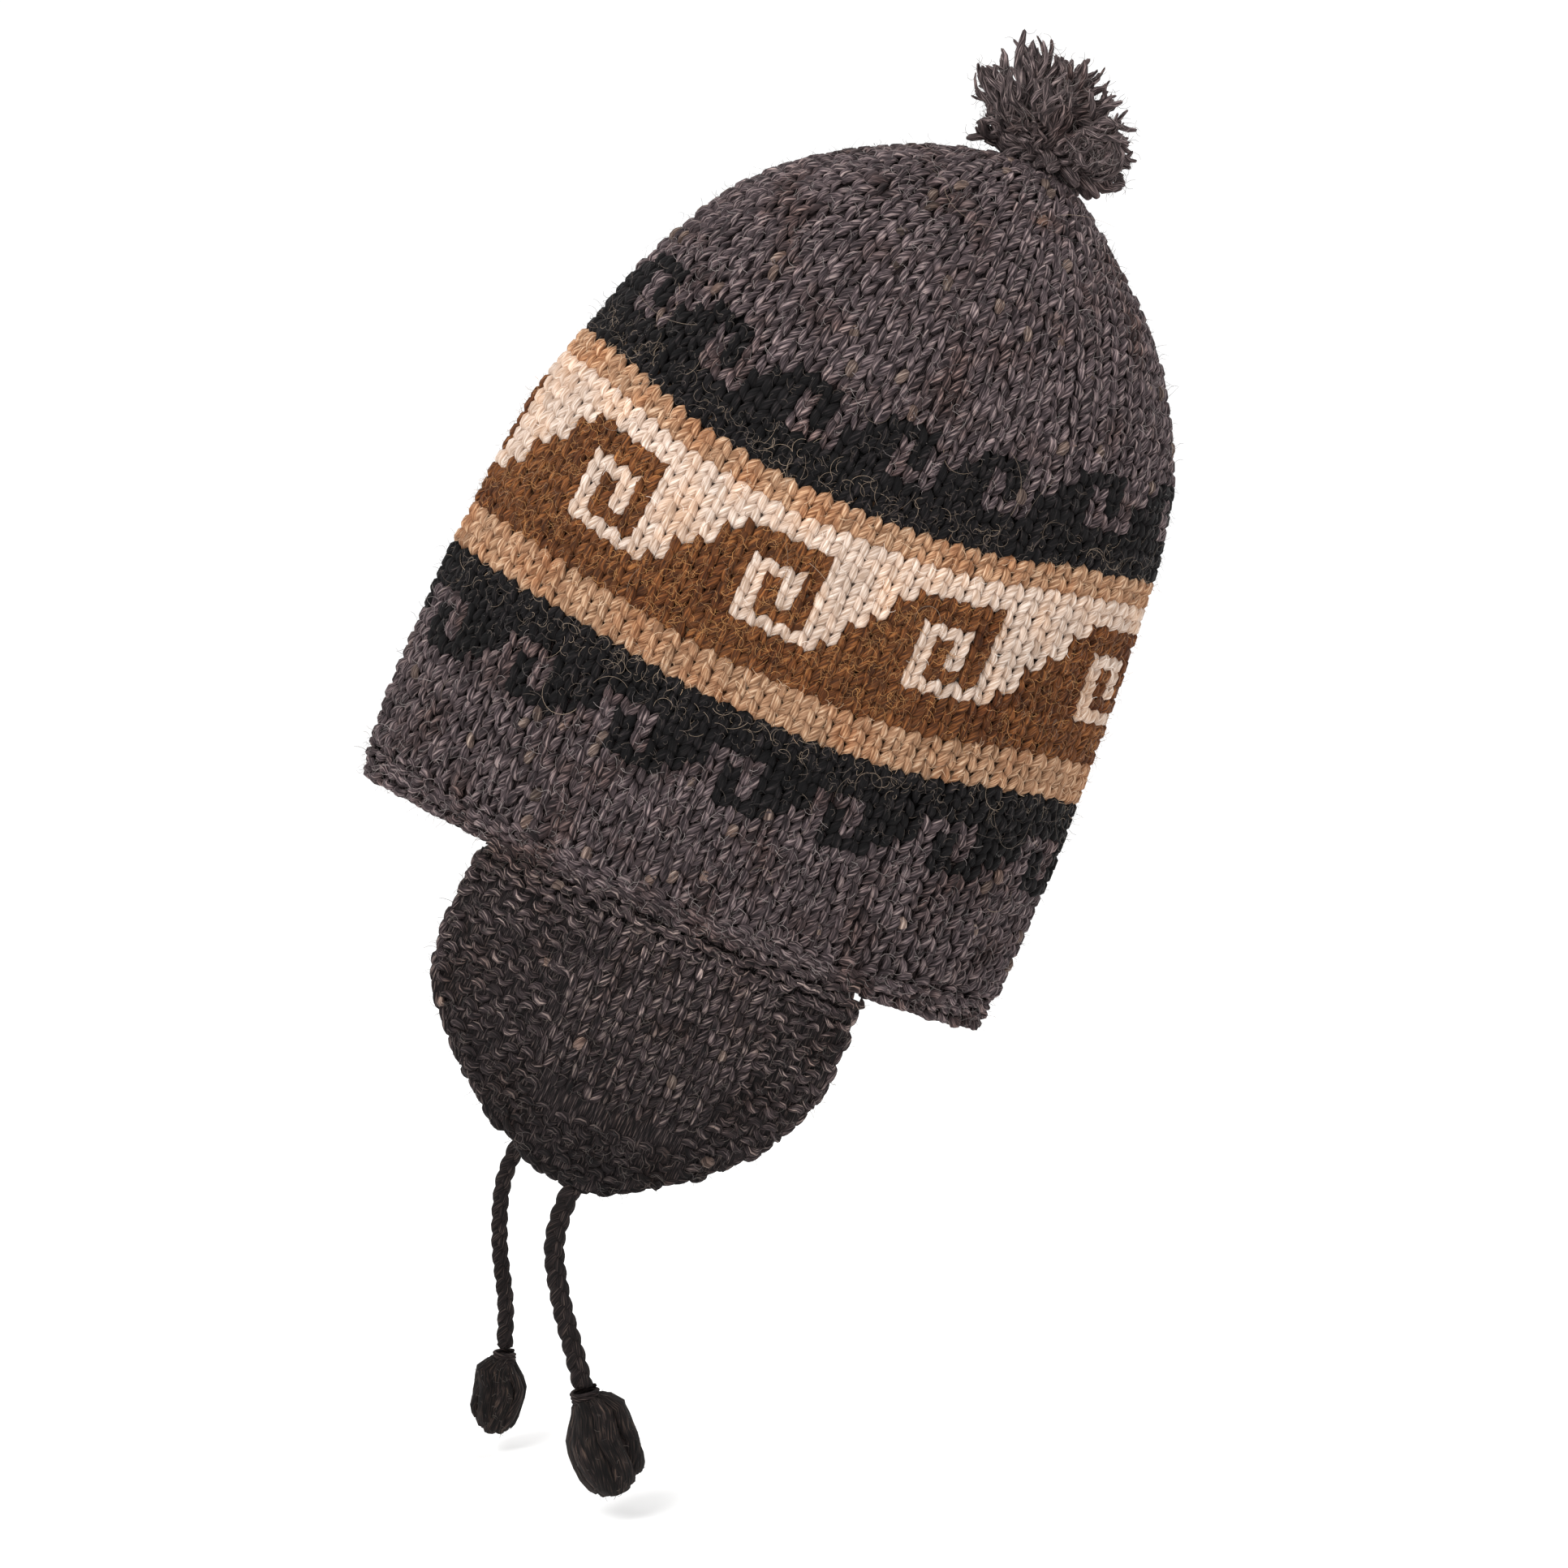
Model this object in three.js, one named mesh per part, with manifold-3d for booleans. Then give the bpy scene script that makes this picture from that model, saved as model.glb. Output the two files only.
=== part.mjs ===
// A hand-knitted wool hat with two ear flaps, plaited ties that end in tassels, and a tuft of wool on top.
// The hat keeps the form it has on a head, leaning back with its ties hanging plumb, and it is hollow.
// Millimetres, +Z up, front of the hat towards -X, left flap towards -Y.
// The origin is the middle of the rim opening, where a head goes in.

import * as THREE from "three";
import { mergeVertices } from "three/addons/utils/BufferGeometryUtils.js";
import Module from "manifold-3d";

const wasm = await Module();
wasm.setup();

// Driving sizes
const LEAN = THREE.MathUtils.degToRad(23); // the crown leans this far towards the back
const WALL = 4.6; // thickness of the knitted fabric
const GAP = 0.35; // clearance between neighbouring pieces
const CREASE_EXTRA = 1; // the wall is thicker where the section is pinched
const RIM_SAG = 3; // the rim and the rounds above it dip this much at the two sides
const SAG_FADE_HEIGHT = 210; // the dip has faded out at this height
const FLAP_INSET = 9; // a flap's tip hangs this much nearer the middle than its root
const FLAP_EDGE_SHARE = 0.55; // a flap's edges are this share of the fabric's thickness

// Facets
const AROUND = 56;
const CROWN_RINGS = 20;
const FLAP_COLUMNS = 18;
const CORD_SIDES = 10;
const LOCK_SIDES = 9;

// Outside of the crown from the rim up: height, middle along X, half length along X, half depth along Y, and
// the pinch of the section, 0.5 for an oval and more where the soft bag has a crease at the front and back
const CROWN = [
  { height: 3.8, middle: 0, length: 102.6, depth: 56, pinch: 0.74 },
  { height: 12, middle: 0, length: 103.6, depth: 56.8, pinch: 0.74 },
  { height: 34, middle: 0, length: 104.2, depth: 57.6, pinch: 0.74 },
  { height: 60, middle: 0, length: 104, depth: 57.8, pinch: 0.73 },
  { height: 84, middle: 0, length: 103, depth: 57.6, pinch: 0.72 },
  { height: 108, middle: 0.2, length: 101.2, depth: 57, pinch: 0.71 },
  { height: 133, middle: 1, length: 98.6, depth: 55.8, pinch: 0.69 },
  { height: 158, middle: 3.4, length: 93.8, depth: 53.6, pinch: 0.66 },
  { height: 183, middle: 4.6, length: 86.4, depth: 50.2, pinch: 0.63 },
  { height: 208, middle: 4.2, length: 73, depth: 44, pinch: 0.59 },
  { height: 223, middle: 4.4, length: 59.4, depth: 37.6, pinch: 0.56 },
  { height: 233.4, middle: 5.4, length: 46, depth: 31, pinch: 0.54 },
  { height: 241.6, middle: 7.6, length: 33.4, depth: 24, pinch: 0.52 },
  { height: 247.6, middle: 10.6, length: 21.8, depth: 16.6, pinch: 0.5 },
  { height: 251.2, middle: 13.4, length: 11, depth: 8.8, pinch: 0.5 },
];
const RIM_BOTTOM = CROWN[0].height - WALL / 2; // height of the rim's lower edge at the front and back
const CROWN_TOP = { height: 252.6, middle: 15.4 };

// Outline of an ear flap from the rim down: drop below the rim's ends, front and back edges along X
const FLAP = [
  { drop: 0, front: -57, back: 63 },
  { drop: 10, front: -57.8, back: 63.4 },
  { drop: 20, front: -58.4, back: 63.4 },
  { drop: 32, front: -57.6, back: 62.8 },
  { drop: 41, front: -54.8, back: 60 },
  { drop: 50, front: -48.6, back: 54.4 },
  { drop: 58, front: -41.4, back: 47.4 },
  { drop: 65, front: -33.4, back: 39.4 },
  { drop: 72, front: -23, back: 29.4 },
  { drop: 77, front: -13.6, back: 21 },
  { drop: 80.4, front: -4.6, back: 14.4 },
  { drop: 82, front: 1.4, back: 9.4 },
];

// Each flap's side of the hat, its shift along X, and how far its tip swings along X
const FLAPS = {
  left: { side: -1, shift: -3.6, swing: 0 },
  right: { side: 1, shift: 3.6, swing: -19.6 },
};

// Ties: diameter, and the way down from the tip of the flap as drop and shift along X and Y
const TIES = {
  left: {
    diameter: 6.2,
    way: [
      { drop: 9, shiftX: -3.6, shiftY: 0 },
      { drop: 18, shiftX: -5.4, shiftY: -0.4 },
      { drop: 34, shiftX: -3.4, shiftY: -0.8 },
      { drop: 50, shiftX: 0.6, shiftY: -0.6 },
      { drop: 59.5, shiftX: 3, shiftY: -0.4 },
    ],
  },
  right: {
    diameter: 5.4,
    way: [
      { drop: 9, shiftX: -4.8, shiftY: 0 },
      { drop: 19, shiftX: -8.2, shiftY: 0.4 },
      { drop: 38, shiftX: -9.2, shiftY: 0.8 },
      { drop: 57, shiftX: -7.4, shiftY: 0.6 },
      { drop: 71.5, shiftX: -7.8, shiftY: 0.4 },
    ],
  },
};

// Tassels: length and width of the tuft, its lean along X, and the size of the wound neck
const TASSELS = {
  left: { length: 33.5, width: 24, lean: 3, neckLength: 5, neckDiameter: 8.6, locks: 9 },
  right: { length: 27, width: 18.4, lean: -3, neckLength: 4.4, neckDiameter: 7, locks: 8 },
};

// Pompom: each ring of locks has a number of locks, the lean of its locks from the axis, their length and
// width, how far their roots stand from the axis, the turn of the ring, and the share by which the locks that
// fall to the front are longer than the middle one
const POMPOM_RINGS = [
  { locks: 1, leanDeg: 4, length: 31, width: 15, root: 0, turnDeg: 200, forward: 0 },
  { locks: 5, leanDeg: 26, length: 32, width: 15, root: 4, turnDeg: 16, forward: 0.16 },
  { locks: 7, leanDeg: 52, length: 28, width: 14, root: 6, turnDeg: 0, forward: 0.1 },
  { locks: 6, leanDeg: 80, length: 21, width: 14, root: 6, turnDeg: 0, forward: -0.12 },
];
const POMPOM_NECK = { bottom: -4, top: 14, diameter: 23 };
const POMPOM_SEED = 7;

// Width of a lock of wool along its length
const LOCK_FORM = [
  { along: 0.05, width: 0.55 },
  { along: 0.22, width: 0.82 },
  { along: 0.5, width: 1 },
  { along: 0.76, width: 0.92 },
  { along: 0.93, width: 0.58 },
];

const COLOURS = {
  crown: 0x55504d,
  flap: 0x413c39,
  tie: 0x2b2624,
  tassel: 0x29241f,
  pompom: 0x574f4b,
};

const X = new THREE.Vector3(1, 0, 0);
const Y = new THREE.Vector3(0, 1, 0);
const Z = new THREE.Vector3(0, 0, 1);

// Smooth value of one column of a table at a place counted in rows
function smooth(table, column, place) {
  const last = table.length - 1;
  const row = Math.min(Math.floor(place), last - 1);
  const share = place - row;
  const at = (index) => table[Math.max(0, Math.min(last, index))][column];
  const [before, here, next, after] = [at(row - 1), at(row), at(row + 1), at(row + 2)];
  const slopeHere = (next - before) / 2;
  const slopeNext = (after - here) / 2;
  const cubic = 2 * here - 2 * next + slopeHere + slopeNext;
  const square = -3 * here + 3 * next - 2 * slopeHere - slopeNext;
  return ((cubic * share + square) * share + slopeHere) * share + here;
}

// Repeatable numbers from 0 to 1
function seeded(seed) {
  let state = seed;
  return () => {
    state = (state * 16807) % 2147483647;
    return state / 2147483647;
  };
}

// Turns the faces of a closed mesh outwards
function outward(positions, index) {
  const [a, b, c] = [new THREE.Vector3(), new THREE.Vector3(), new THREE.Vector3()];
  let volume = 0;
  for (let i = 0; i < index.length; i += 3) {
    a.fromArray(positions, 3 * index[i]);
    b.fromArray(positions, 3 * index[i + 1]);
    c.fromArray(positions, 3 * index[i + 2]);
    volume += a.dot(b.cross(c));
  }
  if (volume < 0) {
    for (let i = 0; i < index.length; i += 3) {
      [index[i + 1], index[i + 2]] = [index[i + 2], index[i + 1]];
    }
  }
  const geometry = new THREE.BufferGeometry();
  geometry.setAttribute("position", new THREE.Float32BufferAttribute(positions, 3));
  geometry.setIndex(index);
  return geometry;
}

// Closed skin over rings of points; the first and the last ring is a single point
function loft(rings) {
  const positions = [];
  const starts = [];
  for (const ring of rings) {
    starts.push(positions.length / 3);
    for (const point of ring) positions.push(point.x, point.y, point.z);
  }
  const index = [];
  for (let r = 0; r < rings.length - 1; r += 1) {
    const [here, next] = [rings[r], rings[r + 1]];
    const count = Math.max(here.length, next.length);
    for (let i = 0; i < count; i += 1) {
      const j = (i + 1) % count;
      const [hereI, hereJ] = here.length > 1 ? [starts[r] + i, starts[r] + j] : [starts[r], starts[r]];
      const [nextI, nextJ] =
        next.length > 1 ? [starts[r + 1] + i, starts[r + 1] + j] : [starts[r + 1], starts[r + 1]];
      if (here.length > 1) index.push(hereI, hereJ, nextJ);
      if (next.length > 1) index.push(hereI, nextJ, nextI);
    }
  }
  return outward(positions, index);
}

// Closed sheet between two grids of points, with its four edges closed
function sheet(outside, inside) {
  const rows = outside.length;
  const columns = outside[0].length;
  const positions = [];
  for (const grid of [outside, inside]) {
    for (const row of grid) {
      for (const point of row) positions.push(point.x, point.y, point.z);
    }
  }
  const at = (side, row, column) => (side * rows + row) * columns + column;
  const index = [];
  const quad = (a, b, c, d) => index.push(a, b, c, a, c, d);
  for (let r = 0; r < rows - 1; r += 1) {
    for (let c = 0; c < columns - 1; c += 1) {
      quad(at(0, r, c), at(0, r, c + 1), at(0, r + 1, c + 1), at(0, r + 1, c));
      quad(at(1, r, c), at(1, r + 1, c), at(1, r + 1, c + 1), at(1, r, c + 1));
    }
  }
  for (let c = 0; c < columns - 1; c += 1) {
    const end = rows - 1;
    quad(at(0, 0, c), at(1, 0, c), at(1, 0, c + 1), at(0, 0, c + 1));
    quad(at(0, end, c), at(0, end, c + 1), at(1, end, c + 1), at(1, end, c));
  }
  for (let r = 0; r < rows - 1; r += 1) {
    const end = columns - 1;
    quad(at(0, r, 0), at(0, r + 1, 0), at(1, r + 1, 0), at(1, r, 0));
    quad(at(0, r, end), at(1, r, end), at(1, r + 1, end), at(0, r + 1, end));
  }
  return outward(positions, index);
}

function toSolid(geometry) {
  const bare = geometry.clone();
  bare.deleteAttribute("normal");
  bare.deleteAttribute("uv");
  const merged = mergeVertices(bare, 1e-4);
  return new wasm.Manifold(
    new wasm.Mesh({
      numProp: 3,
      vertProperties: new Float32Array(merged.attributes.position.array),
      triVerts: new Uint32Array(merged.index.array),
    }),
  );
}

function toGeometry(solid) {
  const mesh = solid.getMesh();
  const geometry = new THREE.BufferGeometry();
  geometry.setAttribute("position", new THREE.Float32BufferAttribute(mesh.vertProperties, 3));
  geometry.setIndex(Array.from(mesh.triVerts));
  return geometry;
}

function fuse(geometries) {
  return geometries.map(toSolid).reduce((sum, solid) => sum.add(solid));
}

// Point on the crown, or inside its outer face by an inset; level counts rows of the CROWN table and turn goes
// once around
function crownPoint(level, turn, inset) {
  const step = 0.05;
  const low = Math.max(0, level - step);
  const high = Math.min(CROWN.length - 1, level + step);
  const change = (column) => smooth(CROWN, column, high) - smooth(CROWN, column, low);
  const rise = change("height");
  const spread = (change("length") + change("depth")) / 2;
  const slant = Math.hypot(rise, spread);
  const inward = (inset * rise) / slant;
  const pinch = smooth(CROWN, "pinch", level);
  const length = smooth(CROWN, "length", level) - inward * (1 + CREASE_EXTRA * (2 * pinch - 1));
  const depth = smooth(CROWN, "depth", level) - inward;
  const height = smooth(CROWN, "height", level) + (inset * spread) / slant;
  const sag = RIM_SAG * Math.max(0, 1 - height / SAG_FADE_HEIGHT) * Math.sin(turn) ** 2;
  const across = Math.sign(Math.sin(turn)) * Math.abs(Math.sin(turn)) ** (2 * pinch);
  const x = smooth(CROWN, "middle", level) + length * Math.cos(turn);
  return new THREE.Vector3(x, depth * across, height - sag);
}

function crownRing(level, inset) {
  return Array.from({ length: AROUND }, (_, i) => crownPoint(level, (2 * Math.PI * i) / AROUND, inset));
}

function crownLevels() {
  const last = CROWN.length - 1;
  return Array.from({ length: CROWN_RINGS }, (_, i) => (last * i) / (CROWN_RINGS - 1));
}

function crownTop(inset) {
  return [new THREE.Vector3(CROWN_TOP.middle, 0, CROWN_TOP.height - inset)];
}

// The knitted bag: its outside from the top to the rim, the rounded rim, and its inside back to the top
function makeCrown() {
  const levels = crownLevels();
  const outside = levels.toReversed().map((level) => crownRing(level, 0));
  const rim = crownRing(0, WALL / 2).map((point) => point.addScaledVector(Z, -WALL / 2));
  const inside = levels.map((level) => crownRing(level, WALL));
  return loft([crownTop(0), ...outside, rim, ...inside, crownTop(WALL)]);
}

// Everything inside the crown's outside, grown by a clearance
function crownBody(clearance) {
  const rings = crownLevels().map((level) => crownRing(level, -clearance));
  return loft([[new THREE.Vector3(0, 0, 0)], ...rings, crownTop(-clearance)]);
}

// Middle of a flap's fabric at a place on its outline table and a share of its width
function flapPoint({ side, shift, swing }, place, share) {
  const longest = FLAP[FLAP.length - 1].drop;
  const drop = smooth(FLAP, "drop", place);
  const front = smooth(FLAP, "front", place);
  const back = smooth(FLAP, "back", place);
  const bend = (drop / longest) ** 1.5;
  const rootX = front + (back - front) * share + shift;
  const rim = CROWN[0];
  const round = Math.max(0, 1 - (rootX / (rim.length - WALL / 2)) ** 2);
  const root = RIM_BOTTOM - RIM_SAG * round - GAP;
  const y = side * ((rim.depth - WALL / 2) * round ** rim.pinch - FLAP_INSET * bend);
  return new THREE.Vector3(rootX + swing * bend, y, root - drop * (1 + root / longest));
}

function makeFlap(flap) {
  const rows = FLAP.length;
  const outside = [];
  const inside = [];
  for (let r = 0; r < rows; r += 1) {
    outside.push([]);
    inside.push([]);
    for (let c = 0; c <= FLAP_COLUMNS; c += 1) {
      const share = c / FLAP_COLUMNS;
      const point = flapPoint(flap, r, share);
      const along = flapPoint(flap, r, share + 0.01).sub(flapPoint(flap, r, share - 0.01));
      const out = new THREE.Vector3(-along.y, along.x, 0).normalize().multiplyScalar(flap.side);
      const onEdge = c === 0 || c === FLAP_COLUMNS || r === rows - 1;
      const half = (WALL / 2) * (onEdge ? FLAP_EDGE_SHARE : 1);
      outside[r].push(point.clone().addScaledVector(out, half));
      inside[r].push(point.clone().addScaledVector(out, -half));
    }
  }
  return sheet(outside, inside);
}

function leaned(point) {
  return point.clone().applyAxisAngle(Y, LEAN);
}

// The way of a tie, from just under the tip of its flap to the neck of its tassel
function tieCurve(flap, { way }) {
  const tip = flapPoint(flap, FLAP.length - 1, 0.5);
  const start = leaned(tip.addScaledVector(Z, -GAP));
  const points = way.map((row) => start.clone().add(new THREE.Vector3(row.shiftX, row.shiftY, -row.drop)));
  return new THREE.CatmullRomCurve3([start, ...points]);
}

function makeTie(flap, tie) {
  const section = new THREE.Shape();
  for (let i = 0; i < CORD_SIDES; i += 1) {
    const turn = (2 * Math.PI * i) / CORD_SIDES;
    const [x, y] = [(tie.diameter / 2) * Math.cos(turn), (tie.diameter / 2) * Math.sin(turn)];
    if (i === 0) section.moveTo(x, y);
    else section.lineTo(x, y);
  }
  const extrudePath = tieCurve(flap, tie);
  return new THREE.ExtrudeGeometry(section, { steps: 12, bevelEnabled: false, extrudePath });
}

// One lock of wool: a bent spindle with blunt ends, flattened a little along its bend
function makeLock(root, middle, tip, width) {
  const curve = new THREE.QuadraticBezierCurve3(root, middle, tip);
  const start = curve.getTangent(0);
  const side = new THREE.Vector3().crossVectors(start, Math.abs(start.z) < 0.9 ? Z : X).normalize();
  const rings = [[curve.getPoint(0)]];
  for (const row of LOCK_FORM) {
    const point = curve.getPoint(row.along);
    const along = curve.getTangent(row.along);
    const across = side.clone().addScaledVector(along, -side.dot(along)).normalize();
    const up = new THREE.Vector3().crossVectors(along, across);
    const ring = [];
    for (let i = 0; i < LOCK_SIDES; i += 1) {
      const turn = (2 * Math.PI * i) / LOCK_SIDES;
      const half = (width * row.width) / 2;
      ring.push(
        point
          .clone()
          .addScaledVector(across, half * Math.cos(turn))
          .addScaledVector(up, 0.86 * half * Math.sin(turn)),
      );
    }
    rings.push(ring);
  }
  rings.push([curve.getPoint(1)]);
  return loft(rings);
}

// A tassel stands at the origin and hangs along -Z: a wound neck, and locks that swell and close at the cut end
function makeTassel({ length, width, lean, neckLength, neckDiameter, locks }) {
  const neck = new THREE.CylinderGeometry(0.42 * neckDiameter, neckDiameter / 2, neckLength, LOCK_SIDES);
  neck.rotateX(Math.PI / 2).translate(0, 0, -neckLength / 2);
  const lockWidth = 0.5 * width;
  const bulge = (width - lockWidth) / 2;
  const pieces = [neck];
  for (let i = 0; i < locks; i += 1) {
    const turn = (2 * Math.PI * i) / locks;
    const out = new THREE.Vector3(Math.cos(turn), Math.sin(turn), 0);
    const reach = length * (i % 2 ? 0.94 : 1);
    const root = out.clone().multiplyScalar(0.14 * width).addScaledVector(Z, -0.35 * neckLength);
    const middle = out.clone().multiplyScalar(1.22 * bulge);
    middle.add(new THREE.Vector3(0.4 * lean, 0, -0.5 * length));
    const tip = out.clone().multiplyScalar(0.62 * bulge).add(new THREE.Vector3(lean, 0, -reach));
    pieces.push(makeLock(root, middle, tip, lockWidth));
  }
  const core = makeLock(
    new THREE.Vector3(0, 0, -0.35 * neckLength),
    new THREE.Vector3(0.4 * lean, 0, -0.5 * length),
    new THREE.Vector3(lean, 0, -0.96 * length),
    0.8 * width,
  );
  return toGeometry(fuse([...pieces, core]));
}

// The tuft stands on the top of the crown: a tied neck and rings of locks that fan out and droop
function makePompom() {
  const random = seeded(POMPOM_SEED);
  const neckHeight = POMPOM_NECK.top - POMPOM_NECK.bottom;
  const neck = new THREE.CylinderGeometry(
    0.5 * POMPOM_NECK.diameter,
    0.62 * POMPOM_NECK.diameter,
    neckHeight,
    14,
  );
  neck.rotateX(Math.PI / 2).translate(0, 0, (POMPOM_NECK.top + POMPOM_NECK.bottom) / 2);
  const pieces = [neck];
  for (const ring of POMPOM_RINGS) {
    for (let i = 0; i < ring.locks; i += 1) {
      const turn = (2 * Math.PI * i) / ring.locks + THREE.MathUtils.degToRad(ring.turnDeg);
      const lean = THREE.MathUtils.degToRad(ring.leanDeg + 10 * (random() - 0.5));
      const forward = 1 - ring.forward * Math.cos(turn);
      const length = ring.length * forward * (0.9 + 0.18 * random());
      const out = new THREE.Vector3(Math.cos(turn), Math.sin(turn), 0);
      const way = Z.clone().multiplyScalar(Math.cos(lean)).addScaledVector(out, Math.sin(lean));
      const root = out.clone().multiplyScalar(ring.root).addScaledVector(Z, 4);
      const middle = root.clone().addScaledVector(way, 0.5 * length).addScaledVector(Z, 0.1 * length);
      const tip = root.clone().addScaledVector(way, length);
      pieces.push(makeLock(root, middle, tip, ring.width));
    }
  }
  const place = new THREE.Matrix4().makeTranslation(CROWN_TOP.middle, 0, CROWN_TOP.height);
  for (const piece of pieces) piece.applyMatrix4(place);
  return toGeometry(fuse(pieces).subtract(toSolid(crownBody(GAP))));
}

function wool(name, geometry, color) {
  geometry.computeVertexNormals();
  const material = new THREE.MeshStandardMaterial({ color, roughness: 0.95, metalness: 0 });
  const mesh = new THREE.Mesh(geometry, material);
  mesh.name = name;
  return mesh;
}

const hat = new THREE.Group();

const leaning = new THREE.Group();
leaning.rotation.y = LEAN;
leaning.add(wool("crown", makeCrown(), COLOURS.crown));
leaning.add(wool("left_ear_flap", makeFlap(FLAPS.left), COLOURS.flap));
leaning.add(wool("right_ear_flap", makeFlap(FLAPS.right), COLOURS.flap));
leaning.add(wool("pompom", makePompom(), COLOURS.pompom));
hat.add(leaning);

for (const name of ["left", "right"]) {
  hat.add(wool(`${name}_tie_cord`, makeTie(FLAPS[name], TIES[name]), COLOURS.tie));
  const curve = tieCurve(FLAPS[name], TIES[name]);
  const tassel = wool(`${name}_tassel`, makeTassel(TASSELS[name]), COLOURS.tassel);
  const end = curve.getTangent(1);
  tassel.position.copy(curve.getPoint(1)).addScaledVector(end, GAP);
  tassel.quaternion.setFromUnitVectors(Z.clone().negate(), end);
  hat.add(tassel);
}

export default hat;
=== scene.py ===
"""Hand-knitted wool hat with ear flaps: every stitch is a loop of yarn laid on the hat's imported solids."""

import math

import bpy
import numpy as np
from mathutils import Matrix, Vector


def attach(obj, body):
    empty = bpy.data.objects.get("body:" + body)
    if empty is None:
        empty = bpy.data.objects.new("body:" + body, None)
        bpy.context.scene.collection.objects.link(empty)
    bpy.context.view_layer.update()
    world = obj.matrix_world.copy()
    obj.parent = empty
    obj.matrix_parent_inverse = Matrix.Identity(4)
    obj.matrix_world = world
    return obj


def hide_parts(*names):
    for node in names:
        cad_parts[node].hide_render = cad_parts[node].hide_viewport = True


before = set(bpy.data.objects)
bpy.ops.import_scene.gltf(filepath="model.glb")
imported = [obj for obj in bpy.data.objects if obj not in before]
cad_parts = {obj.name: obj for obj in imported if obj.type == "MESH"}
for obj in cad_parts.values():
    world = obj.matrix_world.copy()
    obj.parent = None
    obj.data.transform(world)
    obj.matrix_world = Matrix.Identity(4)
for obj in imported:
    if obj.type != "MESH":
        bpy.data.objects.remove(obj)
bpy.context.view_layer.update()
scene = bpy.context.scene


# Studio: a sheet of pale paper under the hat, an even white room, and one large soft lamp at the upper left.
# The camera stands in front of the left side and looks a little down.
def linear(code):
    """Linear colour of an sRGB hex value."""
    parts = [int(code[i : i + 2], 16) / 255 for i in (1, 3, 5)]
    return [p / 12.92 if p <= 0.04045 else ((p + 0.055) / 1.055) ** 2.4 for p in parts] + [1]


def add_node(tree, kind, settings=None, values=None, links=None):
    """A shader node with its settings, socket values and incoming links."""
    made = tree.nodes.new(kind)
    for key, value in (settings or {}).items():
        setattr(made, key, value)
    for key, value in (values or {}).items():
        made.inputs[key].default_value = value
    for key, source in (links or {}).items():
        tree.links.new(source, made.inputs[key])
    return made


FLOOR_HEIGHT = -0.176
FLOOR_HALF = 6.0
CAMERA_PLACE = Vector((-0.0602, -1.0954, 0.0965))
CAMERA_AIM = Vector((0.0355, -0.0011, 0.0390))
VIEW_ANGLE = math.radians(24.53)
SENSOR = 36.0

paper = bpy.data.materials.new("matt_white_paper")
paper.use_nodes = True
paper_tree = paper.node_tree
paper_shader = paper_tree.nodes["Principled BSDF"]
paper_shader.inputs["Roughness"].default_value = 0.9
paper_shader.inputs["Specular IOR Level"].default_value = 0.1
paper_grain = add_node(paper_tree, "ShaderNodeTexNoise", values={"Scale": 40, "Detail": 2})
paper_colour = add_node(
    paper_tree, "ShaderNodeMix", {"data_type": "RGBA"}, links={0: paper_grain.outputs["Fac"]}
)
paper_colour.inputs[6].default_value = linear("#fcfbfa")
paper_colour.inputs[7].default_value = linear("#ffffff")
paper_tree.links.new(paper_colour.outputs[2], paper_shader.inputs["Base Color"])

floor_mesh = bpy.data.meshes.new("paper_floor")
floor_corners = [(-FLOOR_HALF, -2), (FLOOR_HALF, -2), (FLOOR_HALF, 10), (-FLOOR_HALF, 10)]
floor_mesh.from_pydata([(x, y, FLOOR_HEIGHT) for x, y in floor_corners], [], [(0, 1, 2, 3)])
floor_mesh.materials.append(paper)
floor = bpy.data.objects.new("paper_floor", floor_mesh)
scene.collection.objects.link(floor)

room = bpy.data.worlds.new("white_room")
room.use_nodes = True
room.node_tree.nodes["Background"].inputs["Color"].default_value = (1, 1, 1, 1)
room.node_tree.nodes["Background"].inputs["Strength"].default_value = 1.06
scene.world = room
scene.view_settings.view_transform = "Standard"

for lamp_name, place, size, power in (
    ("key_softbox", (-0.75, -1.15, 1.0), 0.7, 16.0),
    ("rear_softbox", (0.8, 0.9, 0.9), 0.7, 5.0),
):
    lamp_data = bpy.data.lights.new(lamp_name, "AREA")
    lamp_data.size = size
    lamp_data.energy = power
    lamp = bpy.data.objects.new(lamp_name, lamp_data)
    lamp.location = place
    lamp.rotation_euler = (CAMERA_AIM - Vector(place)).to_track_quat("-Z", "Y").to_euler()
    scene.collection.objects.link(lamp)

camera_data = bpy.data.cameras.new("camera")
camera_data.sensor_width = SENSOR
camera_data.lens = SENSOR / 2 / math.tan(VIEW_ANGLE / 2)
camera = bpy.data.objects.new("camera", camera_data)
camera.location = CAMERA_PLACE
camera.rotation_euler = (CAMERA_AIM - CAMERA_PLACE).to_track_quat("-Z", "Y").to_euler()
scene.collection.objects.link(camera)
scene.camera = camera


# Ties: a plait of three strands of dark handspun wool hangs from the tip of each flap and ends in a tassel.
# They are limp and hang almost straight. Sizes are in millimetres here, in the hat's own upright frame,
# which leans back about the Y axis.
LEAN = math.radians(23)
WALL = 4.6
GAP = 0.35
RIM_SAG = 3.0
RIM_BOTTOM = 1.5
RIM_LENGTH, RIM_DEPTH, RIM_PINCH = 102.6, 56.0, 0.74
FLAP_INSET = 9.0
FLAP_ROWS = np.array(
    [
        (0, -57, 63), (10, -57.8, 63.4), (20, -58.4, 63.4), (32, -57.6, 62.8), (41, -54.8, 60),
        (50, -48.6, 54.4), (58, -41.4, 47.4), (65, -33.4, 39.4), (72, -23, 29.4), (77, -13.6, 21),
        (80.4, -4.6, 14.4), (82, 1.4, 9.4),
    ]
)
FLAP_DROP = FLAP_ROWS[-1, 0]
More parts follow.
